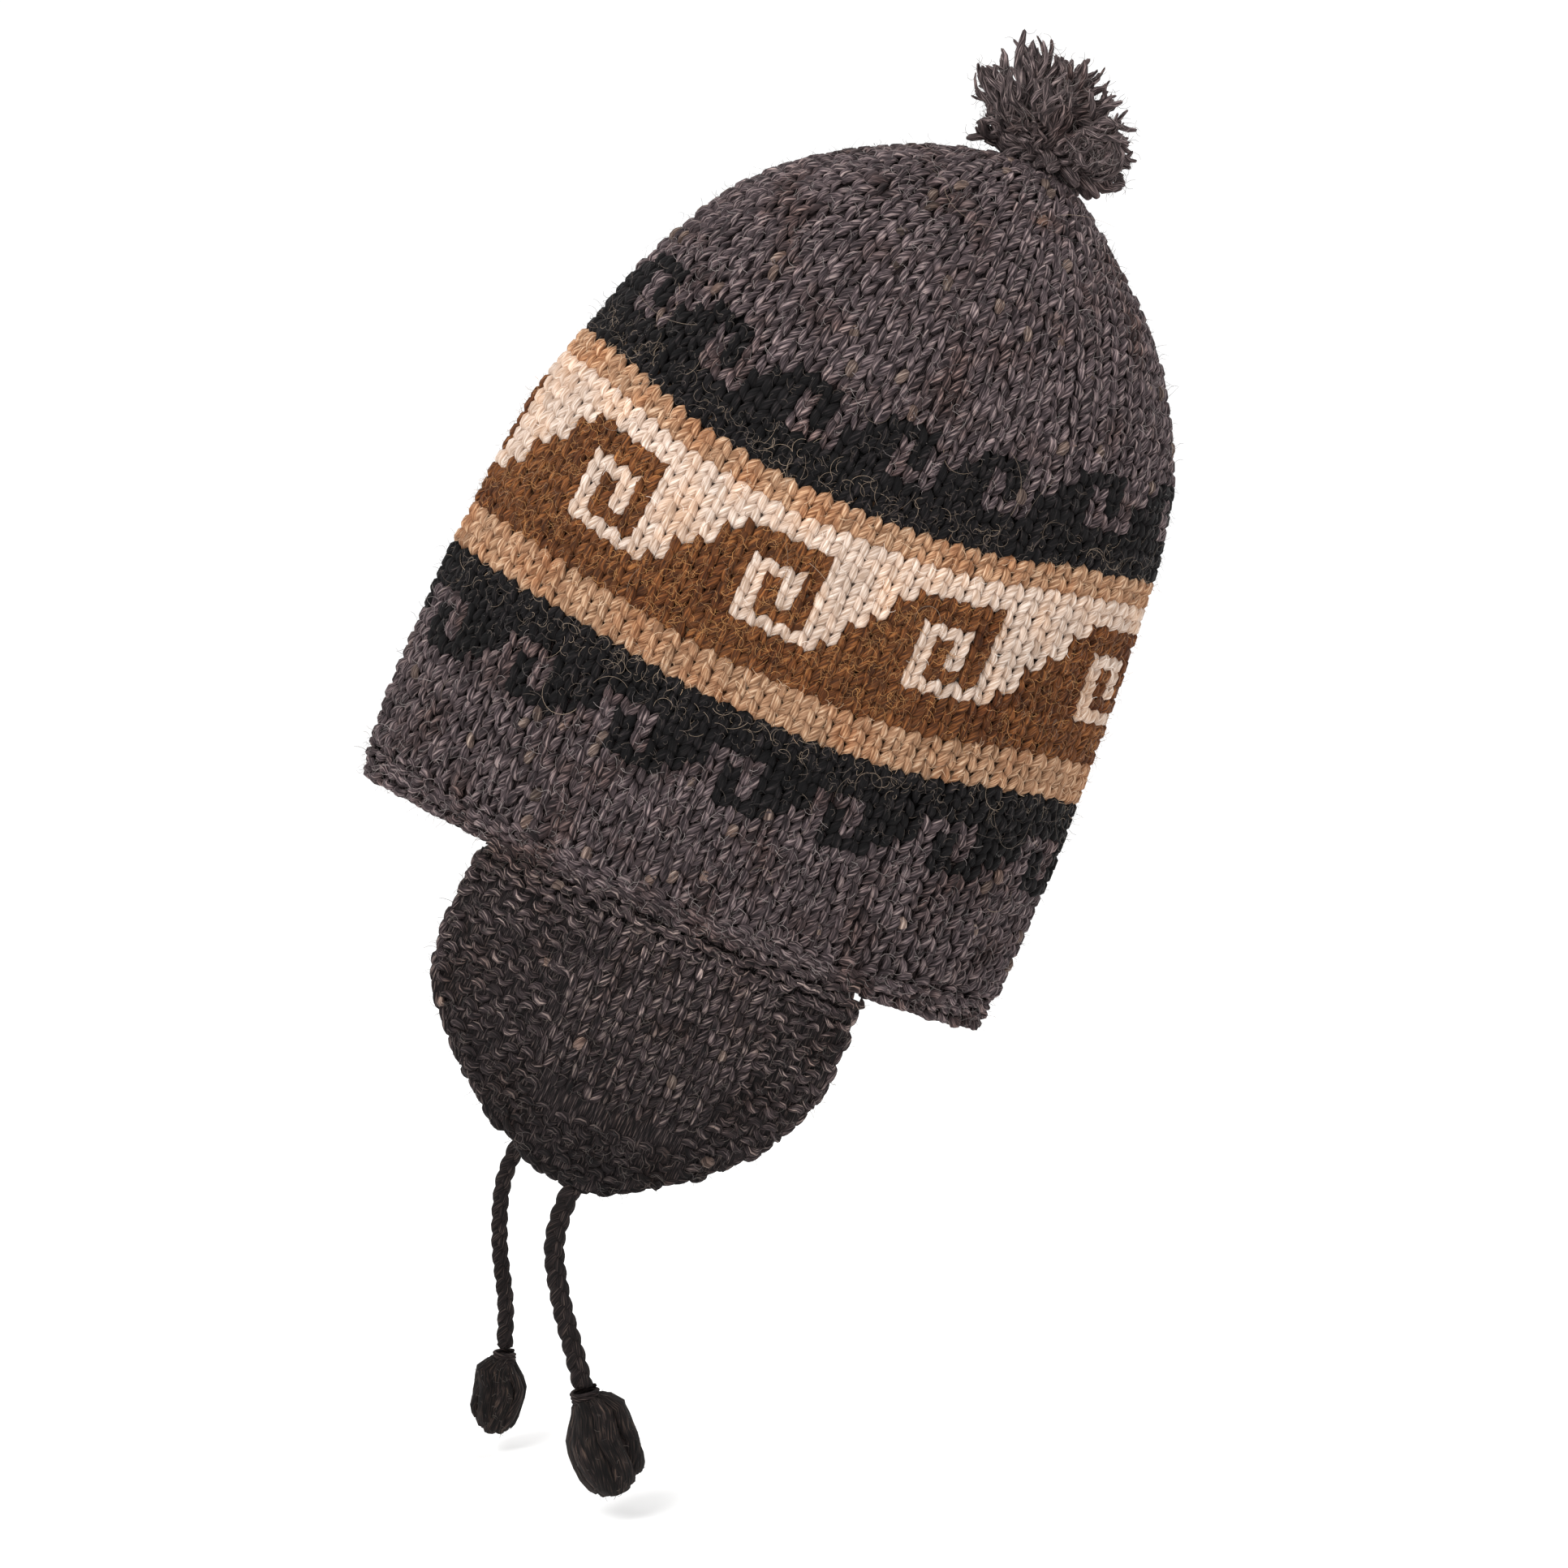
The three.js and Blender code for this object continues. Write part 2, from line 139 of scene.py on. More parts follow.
FLAPS = {"left": (-1, -3.6, 0.0), "right": (1, 3.6, -19.6)}
TIES = {
    "left": (6.2, [(9, -3.6, 0), (18, -5.4, -0.4), (34, -3.4, -0.8), (50, 0.6, -0.6), (59.5, 3, -0.4)]),
    "right": (5.4, [(9, -4.8, 0), (19, -8.2, 0.4), (38, -9.2, 0.8), (57, -7.4, 0.6), (71.5, -7.8, 0.4)]),
}
chance = np.random.default_rng(23)


def leaned(points):
    """Points of the hat's upright frame in the frame that it leans in."""
    points = np.asarray(points, float)
    x, y, z = points[..., 0], points[..., 1], points[..., 2]
    c, s = math.cos(LEAN), math.sin(LEAN)
    return np.stack([x * c + z * s, y, z * c - x * s], -1)


def unit(vectors):
    return vectors / np.maximum(np.linalg.norm(vectors, axis=-1, keepdims=True), 1e-9)


def flap_middle(flap, drop, root_x):
    """Middle of a flap's fabric at a drop below its root and a place along the rim."""
    side, shift, swing = FLAPS[flap]
    bend = (np.maximum(drop, 0) / FLAP_DROP) ** 1.5
    roundness = np.maximum(0, 1 - (root_x / (RIM_LENGTH - WALL / 2)) ** 2)
    root = RIM_BOTTOM - RIM_SAG * roundness - GAP
    y = side * ((RIM_DEPTH - WALL / 2) * roundness**RIM_PINCH - FLAP_INSET * bend)
    return np.stack([root_x + swing * bend, y, root - drop * (1 + root / FLAP_DROP)], -1)


def rounded_way(corners, count):
    """Evenly stepped points on a centripetal spline through the corners."""
    corners = np.asarray(corners, float)
    ends = np.vstack([2 * corners[0] - corners[1], corners, 2 * corners[-1] - corners[-2]])
    way = []
    for place in np.linspace(0, len(corners) - 1, count):
        k = min(int(place), len(corners) - 2)
        p0, p1, p2, p3 = ends[k : k + 4]
        d0, d1, d2 = (np.linalg.norm(b - a) ** 0.5 for a, b in ((p0, p1), (p1, p2), (p2, p3)))
        m1 = ((p1 - p0) / d0 - (p2 - p0) / (d0 + d1) + (p2 - p1) / d1) * d1
        m2 = ((p2 - p1) / d1 - (p3 - p1) / (d1 + d2) + (p3 - p2) / d2) * d1
        t = place - k
        way.append(
            (2 * t**3 - 3 * t**2 + 1) * p1 + (t**3 - 2 * t**2 + t) * m1
            + (3 * t**2 - 2 * t**3) * p2 + (t**3 - t**2) * m2
        )
    return np.array(way)


def mesh_piece(name, vertices, faces, uvs, tones, materials, face_material=None):
    """A smooth mesh from arrays in millimetres. Each item of faces is an array of equal faces with uvs."""
    mesh = bpy.data.meshes.new(name)
    mesh.vertices.add(len(vertices))
    mesh.vertices.foreach_set("co", (np.asarray(vertices) * 0.001).astype(np.float32).ravel())
    corners = np.concatenate([f.ravel() for f in faces]).astype(np.int32)
    sizes = np.concatenate([np.full(len(f), f.shape[1]) for f in faces])
    mesh.loops.add(len(corners))
    mesh.loops.foreach_set("vertex_index", corners)
    mesh.polygons.add(len(sizes))
    mesh.polygons.foreach_set("loop_start", np.concatenate([[0], np.cumsum(sizes)[:-1]]).astype(np.int32))
    if face_material is not None:
        mesh.polygons.foreach_set("material_index", np.asarray(face_material, np.int32))
    mesh.update(calc_edges=True)
    mesh.shade_smooth()
    layer = mesh.uv_layers.new(name="fibres")
    layer.data.foreach_set("uv", np.concatenate([u.reshape(-1, 2) for u in uvs]).astype(np.float32).ravel())
    tone = mesh.attributes.new("tone", "FLOAT", "POINT")
    tone.data.foreach_set("value", np.asarray(tones, np.float32).ravel())
    for material in materials:
        mesh.materials.append(material)
    piece = bpy.data.objects.new(name, mesh)
    scene.collection.objects.link(piece)
    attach(piece, "root")
    return piece


def strand_arrays(ways, outs, half_width, half_depth, tones, sides, twist):
    """Closed round strands: ways is strands by points by xyz, and the first and last points close the ends.
    Gives vertices, quads, triangles, their fibre coordinates in millimetres, and tones."""
    count, points = ways.shape[:2]
    rings = points - 2
    along = unit(np.gradient(ways, axis=1))
    across = unit(np.cross(along, outs))
    up = np.cross(across, along)
    turn = 2 * math.pi * np.arange(sides) / sides
    inner = slice(1, -1)
    wide = half_width[:, inner, None, None] * across[:, inner, None] * np.cos(turn)[:, None]
    deep = half_depth[:, inner, None, None] * up[:, inner, None] * np.sin(turn)[:, None]
    body = (ways[:, inner, None] + wide + deep).reshape(count, rings * sides, 3)
    vertices = np.concatenate([body, ways[:, :1], ways[:, -1:]], 1).reshape(-1, 3)
    each = rings * sides + 2
    start = (np.arange(count) * each)[:, None, None]
    r, s = np.meshgrid(np.arange(rings - 1), np.arange(sides), indexing="ij")
    n = (s + 1) % sides
    quads = np.stack([r * sides + s, r * sides + n, (r + 1) * sides + n, (r + 1) * sides + s], -1)
    quads = (quads.reshape(1, -1, 4) + start).reshape(-1, 4)
    one = np.arange(sides)
    two = (one + 1) % sides
    foot = np.stack([two, one, np.full(sides, rings * sides)], -1)
    last_ring = (rings - 1) * sides
    head = np.stack([last_ring + one, last_ring + two, np.full(sides, rings * sides + 1)], -1)
    triangles = (np.concatenate([foot, head])[None] + start).reshape(-1, 3)
    step = np.linalg.norm(np.diff(ways, axis=1), axis=2)
    run = np.concatenate([np.zeros((count, 1)), np.cumsum(step, 1)], 1)
    girth = math.pi * (half_width.mean(1) + half_depth.mean(1))
    offset = chance.uniform(0, 400, (count, 2))

    def fibre(side_step, point):
        u = side_step / sides * girth[:, None] + twist * run[:, point] + offset[:, :1]
        return np.stack([u, run[:, point] + offset[:, 1:]], -1)

    quad_uv = np.stack(
        [fibre(s.ravel() + a, r.ravel() + 1 + b) for a, b in ((0, 0), (1, 0), (1, 1), (0, 1))], 2
    ).reshape(-1, 4, 2)
    first, last = np.zeros(sides, int), np.full(sides, points - 1)
    foot_uv = np.stack([fibre(one + 1, first + 1), fibre(one, first + 1), fibre(one + 0.5, first)], 2)
    head_uv = np.stack([fibre(one, last - 1), fibre(one + 1, last - 1), fibre(one + 0.5, last)], 2)
    triangle_uv = np.concatenate([foot_uv, head_uv], 1).reshape(-1, 3, 2)
    outward = (quads[:, ::-1], triangles[:, ::-1], quad_uv[:, ::-1], triangle_uv[:, ::-1])
    return vertices, *outward, np.repeat(tones, each)


def strand_piece(name, ways, outs, half_width, half_depth, tones, material, sides=6, twist=0.3):
    vertices, quads, triangles, quad_uv, triangle_uv, tone = strand_arrays(
        ways, outs, half_width, half_depth, tones, sides, twist
    )
    return mesh_piece(name, vertices, [quads, triangles], [quad_uv, triangle_uv], tone, [material])


def spun_wool(name, dark, body, light, fleck, patch, flecks=0.7, sheen=0.25, fibre_mm=0.42, patch_share=0.55):
    """Handspun wool: fibres of several shades run along the yarn with its twist, lighter ones here and there,
    and the shade drifts over a few centimetres. It is matt, with a soft bloom at the edges."""
    made = bpy.data.materials.new(name)
    made.use_nodes = True
    tree = made.node_tree
    shader = tree.nodes["Principled BSDF"]
    shader.inputs["Roughness"].default_value = 0.88
    shader.inputs["Specular IOR Level"].default_value = 0.18
    shader.inputs["Sheen Weight"].default_value = sheen
    shader.inputs["Sheen Roughness"].default_value = 0.55
    shader.inputs["Sheen Tint"].default_value = linear(light)
    fibres = add_node(tree, "ShaderNodeUVMap", {"uv_map": "fibres"})
    drawn = add_node(
        tree, "ShaderNodeVectorMath", {"operation": "MULTIPLY"}, {1: (1 / fibre_mm, 1 / 5.0, 1)},
        {0: fibres.outputs["UV"]},
    )
    streak = add_node(
        tree, "ShaderNodeTexNoise", {"noise_dimensions": "2D"}, {"Scale": 1.0, "Detail": 2.0},
        {"Vector": drawn.outputs[0]},
    )
    shades = add_node(tree, "ShaderNodeValToRGB", links={"Fac": streak.outputs["Fac"]})
    stops = shades.color_ramp.elements
    for place, code in ((0.52, body), (0.62, light)):
        stops.new(place).color = linear(code)
    stops[0].position = 0.34
    stops[0].color = linear(dark)
    stops[-1].position = flecks
    stops[-1].color = linear(fleck)
    place = add_node(tree, "ShaderNodeNewGeometry")
    drift = add_node(
        tree, "ShaderNodeTexNoise", values={"Scale": 70.0, "Detail": 3.0},
        links={"Vector": place.outputs["Position"]},
    )
    drift_share = add_node(
        tree, "ShaderNodeMapRange", values={1: 0.48, 2: 0.68, 3: 0.0, 4: patch_share},
        links={0: drift.outputs["Fac"]},
    )
    mottled = add_node(
        tree, "ShaderNodeMix", {"data_type": "RGBA", "blend_type": "SOFT_LIGHT"},
        links={0: drift_share.outputs[0], 6: shades.outputs["Color"]},
    )
    mottled.inputs[7].default_value = linear(patch)
    tone = add_node(tree, "ShaderNodeAttribute", {"attribute_name": "tone"})
    toned = add_node(
        tree, "ShaderNodeHueSaturation", links={"Value": tone.outputs["Fac"], "Color": mottled.outputs[2]}
    )
    tree.links.new(toned.outputs["Color"], shader.inputs["Base Color"])
    bump = add_node(
        tree, "ShaderNodeBump", values={"Strength": 0.7, "Distance": 0.0005},
        links={"Height": streak.outputs["Fac"]},
    )
    tree.links.new(bump.outputs["Normal"], shader.inputs["Normal"])
    return made


PLAIT_PITCH = 15.0
DARK_WOOL_SHEEN = 0.12
PLAIT_STRAND = 0.27
dark_plait_wool = spun_wool(
    "dark_plaited_wool", "#090707", "#191313", "#2d2524", "#52463f", "#463226", 0.82, sheen=DARK_WOOL_SHEEN
)
tie_pieces = {}
for flap, (diameter, corners) in TIES.items():
    tip = 0.5 * FLAP_ROWS[-1, 1:].sum() + FLAPS[flap][1]
    start = leaned(flap_middle(flap, FLAP_DROP, tip) - [0, 0, GAP])
    steps = [start] + [start + [x, y, -drop] for drop, x, y in corners]
    way = rounded_way(steps, 61)
    run = np.concatenate([[0], np.cumsum(np.linalg.norm(np.diff(way, axis=0), axis=1))])
    along = unit(np.gradient(way, axis=0))
    across = unit(np.cross(along, [0, -1, 0]))
    deep = np.cross(across, along)
    strand = PLAIT_STRAND * diameter
    reach = diameter / 2 - strand
    phases = 2 * math.pi * (run[None] / PLAIT_PITCH + np.arange(3)[:, None] / 3)
    over = reach * np.sin(phases)[..., None] * across
    under = 0.62 * strand * np.sin(2 * phases)[..., None] * deep
    strands = way + over + under
    taper = np.ones((3, len(way)))
    taper[:, [0, -1]] = 0.5
    tie = strand_piece(
        f"{flap}_plaited_tie", strands, np.broadcast_to(deep, strands.shape), 1.08 * strand * taper,
        strand * taper, chance.uniform(0.85, 1.15, 3), dark_plait_wool, sides=9, twist=0.9,
    )
    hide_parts(f"{flap}_tie_cord")
    tie_pieces[flap] = (tie, way, run[-1], diameter)


# Tassels: the plaits end in bundles of the same dark wool, unspun, tied at the neck with a few turns of yarn.
# The locks swell below the neck and were cut off bluntly.
TASSELS = {
    "left": {"length": 33.5, "width": 24, "lean": 3, "neck_length": 5, "neck_diameter": 8.6, "strands": 46},
    "right": {"length": 27, "width": 18.4, "lean": -3, "neck_length": 4.4, "neck_diameter": 7, "strands": 40},
}
BUNDLE_FORM = np.array([(0, 0.26), (0.08, 0.5), (0.2, 0.78), (0.4, 0.94), (0.62, 1), (0.82, 0.94), (1, 0.72)])
LOCK_TAPER = np.array([0.6, 0.8, 0.95, 1, 1, 1, 1, 1, 0.92, 0.66, 0.3])
LOCK_STEPS = np.array([0, 0.1, 0.2, 0.32, 0.44, 0.56, 0.68, 0.8, 0.91, 0.98, 1])
tassel_strands = {}
loose_dark_wool = spun_wool(
    "loose_dark_wool", "#080606", "#161110", "#271f1d", "#4a3d34", "#46321f", 0.84, fibre_mm=0.4,
    sheen=DARK_WOOL_SHEEN,
)
for flap, form in TASSELS.items():
    tie, way, length, diameter = tie_pieces[flap]
    down = unit(way[-1] - way[-2])
    turn_to_end = Vector((0, 0, -1)).rotation_difference(Vector(down)).to_matrix()
    to_end = np.array(turn_to_end)
    place = way[-1] + GAP * down
    count = form["strands"]
    steps = LOCK_STEPS
    angle = chance.uniform(0, 2 * math.pi, count)
    share = np.sqrt(chance.uniform(0.02, 1, count))
    lock = 0.115 * form["width"]
    bulge = np.interp(steps, BUNDLE_FORM[:, 0], BUNDLE_FORM[:, 1]) * (form["width"] / 2 - lock)
    short_side = np.clip(np.cos(angle) * np.sign(form["lean"]), 0, 1) * share
    cut = form["length"] * (chance.uniform(0.96, 1.0, count) - 0.07 * share**2 - 0.1 * short_side)
    wave = 0.5 * np.sin(7 * steps + chance.uniform(0, 6, (count, 1)))
    radius = share[:, None] * bulge + wave
    swing = angle[:, None] + 0.25 * np.sin(3 * steps + chance.uniform(0, 6, (count, 1)))
    shoulder = 0.7 * np.exp(-(((steps - 0.2) / 0.15) ** 2))
    strands = np.stack(
        [
            radius * np.cos(swing) + form["lean"] * (steps**1.5 + shoulder),
            radius * np.sin(swing),
            -0.35 * form["neck_length"] - steps * (cut[:, None] - 0.35 * form["neck_length"]),
        ],
        -1,
    )
    outward = np.stack([np.cos(swing), np.sin(swing), np.zeros_like(swing)], -1)
    thick = lock * LOCK_TAPER * chance.uniform(0.75, 1.25, (count, 1))
    locks = strand_piece(
        f"{flap}_tassel_locks", strands @ to_end.T + place, outward @ to_end.T, 1.15 * thick, 0.85 * thick,
        chance.uniform(0.6, 1.6, count), loose_dark_wool, sides=8, twist=0.15,
    )
    tassel_strands[flap] = (strands @ to_end.T + place, outward @ to_end.T, thick)
    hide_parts(f"{flap}_tassel")
    turns = np.linspace(0, 2 * math.pi * 4, 49)
    neck = 0.46 * form["neck_diameter"]
    winding = np.stack(
        [neck * np.cos(turns), neck * np.sin(turns), -form["neck_length"] * np.linspace(0.05, 0.95, 49)], -1
    )
    around = np.stack([np.cos(turns), np.sin(turns), 0 * turns], -1)
    tying = strand_piece(
        f"{flap}_tassel_tying", (winding @ to_end.T + place)[None], (around @ to_end.T)[None],
        np.full((1, 49), 0.6), np.full((1, 49), 0.6), np.array([1.3]), dark_plait_wool,
    )


# Crown: one bag knitted in the round from the rim up, ninety stitches round, closed in nine wedges on top.
# Each stitch is a V of thick handspun wool. The wall is a plain lens in section, so the same number of rows
# climbs a longer way at the front and back edges than in the middle of the sides.
CROWN = np.array(
    [
        (3.8, 0, 102.6, 56, 0.74), (12, 0, 103.6, 56.8, 0.74), (34, 0, 104.2, 57.6, 0.74),
        (60, 0, 104, 57.8, 0.73), (84, 0, 103, 57.6, 0.72), (108, 0.2, 101.2, 57, 0.71),
        (133, 1, 98.6, 55.8, 0.69), (158, 3.4, 93.8, 53.6, 0.66), (183, 4.6, 86.4, 50.2, 0.63),
        (208, 4.2, 73, 44, 0.59), (223, 4.4, 59.4, 37.6, 0.56), (233.4, 5.4, 46, 31, 0.54),
        (241.6, 7.6, 33.4, 24, 0.52), (247.6, 10.6, 21.8, 16.6, 0.5), (251.2, 13.4, 11, 8.8, 0.5),
    ]
)
CROWN_TOP = np.array([15.4, 0, 252.6])
CREASE_EXTRA = 1.0
SAG_FADE_HEIGHT = 210.0
ROW = 4.1
GARTER_BAND = 11.0
WEDGES = 9
STITCHES = 90
STITCH = 5.4
TABLE_STEP = 0.25
TABLE_AROUND = 720


def smooth(table, place):
    """Rows of a table on a smooth curve through them."""
    last = len(table) - 1
    row = np.minimum(np.floor(place).astype(int), last - 1)
    share = (place - row)[..., None]
    before, here, after, beyond = (table[np.clip(row + k, 0, last)] for k in (-1, 0, 1, 2))
    slope_here, slope_after = (after - before) / 2, (beyond - here) / 2
    cubic = 2 * here - 2 * after + slope_here + slope_after
    square = -3 * here + 3 * after - 2 * slope_here - slope_after
    return ((cubic * share + square) * share + slope_here) * share + here


def crown_wall(level, turn, inset):
    """Points on the crown's wall, inset from its outside."""
    change = smooth(CROWN, np.minimum(14, level + 0.05)) - smooth(CROWN, np.maximum(0, level - 0.05))
    rise, spread = change[..., 0], (change[..., 2] + change[..., 3]) / 2
    slant = np.hypot(rise, spread)
    inward = inset * rise / slant
    height, middle, length, depth, pinch = np.moveaxis(smooth(CROWN, level), -1, 0)
    height = height + inset * spread / slant
    length = length - inward * (1 + CREASE_EXTRA * (2 * pinch - 1))
    sag = RIM_SAG * np.maximum(0, 1 - height / SAG_FADE_HEIGHT) * np.sin(turn) ** 2
    across = np.sign(np.sin(turn)) * np.abs(np.sin(turn)) ** (2 * pinch)
    x = middle + length * np.cos(turn)
    return np.stack([x, (depth - inward) * across, height - sag + 0 * turn], -1)


levels = np.linspace(0, len(CROWN) - 1, 281)[:, None]
turns = np.linspace(0, 2 * math.pi, 361)[None]
walls = []
for inset in (0.0, WALL):
    wall = crown_wall(levels, turns, inset)
    top = np.broadcast_to(CROWN_TOP - [0, 0, inset], (1, wall.shape[1], 3))
    walls.append(leaned(np.concatenate([wall, top])))
climb = np.concatenate([np.zeros((1, 361)), np.cumsum(np.linalg.norm(np.diff(walls[0], axis=0), axis=2), 0)])
middle_climb = climb[-1, 270]
row_low = -GARTER_BAND / ROW
row_high = (middle_climb - GARTER_BAND) / ROW - 0.6
table_rows = np.arange(row_low, row_high, TABLE_STEP)
table_share = (GARTER_BAND + ROW * table_rows) / middle_climb
outer = np.empty((len(table_rows), 361, 3))
inner = np.empty_like(outer)
for t in range(361):
    for axis in range(3):
        outer[:, t, axis] = np.interp(table_share * climb[-1, t], climb[:, t], walls[0][:, t, axis])
        inner[:, t, axis] = np.interp(table_share * climb[-1, t], climb[:, t], walls[1][:, t, axis])
table_out = np.empty((len(table_rows), TABLE_AROUND, 3))
table_in = np.empty_like(table_out)
girths = np.empty(len(table_rows))
even = np.arange(TABLE_AROUND) / TABLE_AROUND
for r in range(len(table_rows)):
    round_run = np.concatenate([[0], np.cumsum(np.linalg.norm(np.diff(outer[r], axis=0), axis=1))])
    girths[r] = round_run[-1]
    for axis in range(3):
        table_out[r, :, axis] = np.interp(even * girths[r], round_run, outer[r, :, axis])
        table_in[r, :, axis] = np.interp(even * girths[r], round_run, inner[r, :, axis])
table_normal = unit(
    np.cross(np.roll(table_out, -3, 1) - np.roll(table_out, 3, 1), np.gradient(table_out, axis=0))
)


SAG_SHARES = [0.5, 0.57, 0.63, 0.7, 0.75, 0.8, 0.85, 0.9, 0.95, 1]
SAG_MIDDLE = [7, 8, 11.5, 12.5, 10.5, 8.5, 5.5, 1.5, 0.5, 0.5]
SAG_LINES = [
    (row_low, [0] * 10),
    (0, [1, 2, 3.5, 4.5, 4.5, 4, 2.5, 0.5, 0, 0]),
    (15, [5, 6, 6.5, 8.5, 8, 7.5, 5.5, 1.5, 0, 0]),
    (32, SAG_MIDDLE),
    (39, [0.92 * sag for sag in SAG_MIDDLE]),
    (50, [0.45 * sag for sag in SAG_MIDDLE]),
    (row_high, [0] * 10),
]


def settled(row, share):
    """A knitted row where the fabric hangs: its middle sags to the rim, most at the front."""
    row, share = np.broadcast_arrays(row, share)
    near = np.abs(share % 1 - 0.5) + 0.5
    sags = np.stack([np.interp(near, SAG_SHARES, line) for _, line in SAG_LINES])
    place = np.interp(row, [line_row for line_row, _ in SAG_LINES], np.arange(len(SAG_LINES)))
    low = np.minimum(place.astype(int), len(SAG_LINES) - 2)
    part = place - low
    here, beyond = (np.take_along_axis(sags, (low + k)[None], 0)[0] for k in (0, 1))
    return row - (here * (1 - part) + beyond * part) / ROW


def on_table(table, row, share):
    """Values of a table at a knitted row and a share of the way round."""
    row = settled(row, share)
    share = share + 0 * row
    r = np.clip((row - row_low) / TABLE_STEP, 0, len(table_rows) - 1.001)
    c = (share % 1) * TABLE_AROUND
    r0, c0 = np.floor(r).astype(int), np.floor(c).astype(int) % TABLE_AROUND
    rf, cf = (r - r0)[..., None], (c - np.floor(c))[..., None]
    c1 = (c0 + 1) % TABLE_AROUND
    low = table[r0, c0] * (1 - cf) + table[r0, c1] * cf
    high = table[r0 + 1, c0] * (1 - cf) + table[r0 + 1, c1] * cf
    return low * (1 - rf) + high * rf


def girth_at(row):
    return np.interp(row, table_rows, girths)


GREY, BLACK, TAN, CREAM, BROWN = range(5)
WAVES = [
    "BBBBBBBBBB", "BBBBBBBBBB", "BBBBBBBBBB", "CCCCCBBBBB", "CBBBCCBBBB", "CBCBCCBBBB",
    "CBCBCCCBBB", "CCCBCCCCBB", "BBBBCCCCBB", "BBBBCCCCCB", "CCCCCCCCCC", "CCCCCCCCCC",
]
LOWER_HOOKS = ["GKKKGG", "GKGKKG", "GKGKKK", "GGGKKK", "KKKKKK", "KKKKKK", "KKKKKK"]
UPPER_HOOKS = ["KKKKKK", "KKKKKK", "KKKKKK", "KKKGGG", "KKKGKG", "GKKGKG", "GGKKKG"]
WAVE_START, LOWER_START, UPPER_START = 64, 66, 65
YARN_LETTERS = {"G": GREY, "K": BLACK, "T": TAN, "C": CREAM, "B": BROWN}
chart = ["G"] * 8 + LOWER_HOOKS + ["T"] * 3 + WAVES + ["T"] * 2 + UPPER_HOOKS
chart_starts = [0] * 8 + [LOWER_START] * 7 + [0] * 3 + [WAVE_START] * 12 + [0] * 2 + [UPPER_START] * 7
DOME_ROW = len(chart)


def yarn_at(row, column):
    if row >= DOME_ROW:
        return GREY
    line = chart[max(row, 0)]
    return YARN_LETTERS[line[(column - chart_starts[max(row, 0)]) % len(line)]]


# Stitches are stretched a little wider on the left side of the hat than on the right.
STRETCH_COLUMNS = [-2, 47.4, 52.5, 64.5, 76.5, 82.5, 88]
STRETCH_PLACES = [0, 45, 50.9, 63.9, 75.8, 83.4, 90]


def column_share(column):
    """Share of the way round at a column, counted in ninetieths."""
    return np.interp((column + 2) % STITCHES - 2, STRETCH_COLUMNS, STRETCH_PLACES) / STITCHES


stitch_table = []
per_wedge = STITCHES // WEDGES
for row in range(int(row_high) - 1):
    around = girth_at(row)
    if row >= DOME_ROW:
        per_wedge = min(per_wedge, max(2, round(around / (WEDGES * STITCH))))
    count = WEDGES * per_wedge
    for column in range(count):
        place = (column + 0.5) * STITCHES / count
        width = (column_share(place + 0.5) - column_share(place - 0.5)) % 1 * around * STITCHES / count
        stitch_table.append((row, column_share(place), width, yarn_at(row, column)))
stitch_table = np.array(stitch_table)

LEG_STEPS = np.array([0, 0.12, 0.36, 0.62, 0.86, 1])
LEG_WIDTH = np.array([0.3, 0.72, 1.08, 1, 0.5, 0.2])
LEG_HALF = 1.32
LEG_FOOT, LEG_RISE = -0.28, 1.5
LEG_DEPTH, LEG_ARCH = -2.8, 2.4
# One value a yarn: grey, black, tan, cream, brown.
YARN_THICKNESS = np.array([0.95, 1.1, 1.08, 1.1, 1.14])
YARN_SPLAY = np.array([0.43, 0.46, 0.49, 0.49, 0.46])
YARN_REACH = np.array([1.1, 1.12, 1.16, 1.18, 1.16])
YARN_UNEVEN = np.array([1.0, 0.8, 0.5, 0.4, 0.7])
legs = np.repeat(stitch_table, 2, axis=0)
side = np.tile([-1.0, 1.0], len(stitch_table))[:, None]
leg_yarn = legs[:, 3].astype(int)
uneven = YARN_UNEVEN[leg_yarn][:, None]
thick = np.repeat(chance.normal(0, 0.12, len(stitch_table)), 2)[:, None]
thick = thick + chance.normal(0, 0.1, (len(legs), 1))
thick = YARN_THICKNESS[leg_yarn][:, None] * (1 + uneven * thick)
rise = YARN_REACH[leg_yarn][:, None] * (LEG_FOOT + LEG_RISE * LEG_STEPS)
rise = rise + uneven * chance.normal(0, 0.09, (len(legs), 1))
spread = side * legs[:, 2:3] * (0.03 + YARN_SPLAY[leg_yarn][:, None] * LEG_STEPS**0.88)
sway = chance.normal(0, 0.22, (len(legs), 1)) + chance.normal(0, 0.45, (len(legs), 1)) * LEG_STEPS
spread = spread + uneven * sway
sunk = LEG_DEPTH + LEG_ARCH * np.sin(math.pi * (0.08 + 0.84 * LEG_STEPS))
sunk = sunk + chance.normal(0, 0.15, (len(legs), 1))
leg_row = legs[:, :1] + rise
leg_share = legs[:, 1:2] + spread / girth_at(leg_row)
leg_out = on_table(table_normal, leg_row, leg_share)
leg_way = on_table(table_out, leg_row, leg_share) + sunk[..., None] * leg_out
leg_half = LEG_HALF * np.clip(legs[:, 2:3] / STITCH, 0.6, 1.1) * thick * LEG_WIDTH
leg_tone = np.repeat(chance.normal(0, 0.12, len(stitch_table)), 2) + chance.normal(0, 0.1, len(legs))
leg_tone = 1 + uneven[:, 0] * leg_tone
# The lowest rows are darkened towards the rim: partly the yarns' own darker tone and partly painted shade,
# where less light reaches the lower crown.
leg_tone *= np.interp(legs[:, 0], [0, 10, 30], [0.76, 0.86, 1.0])

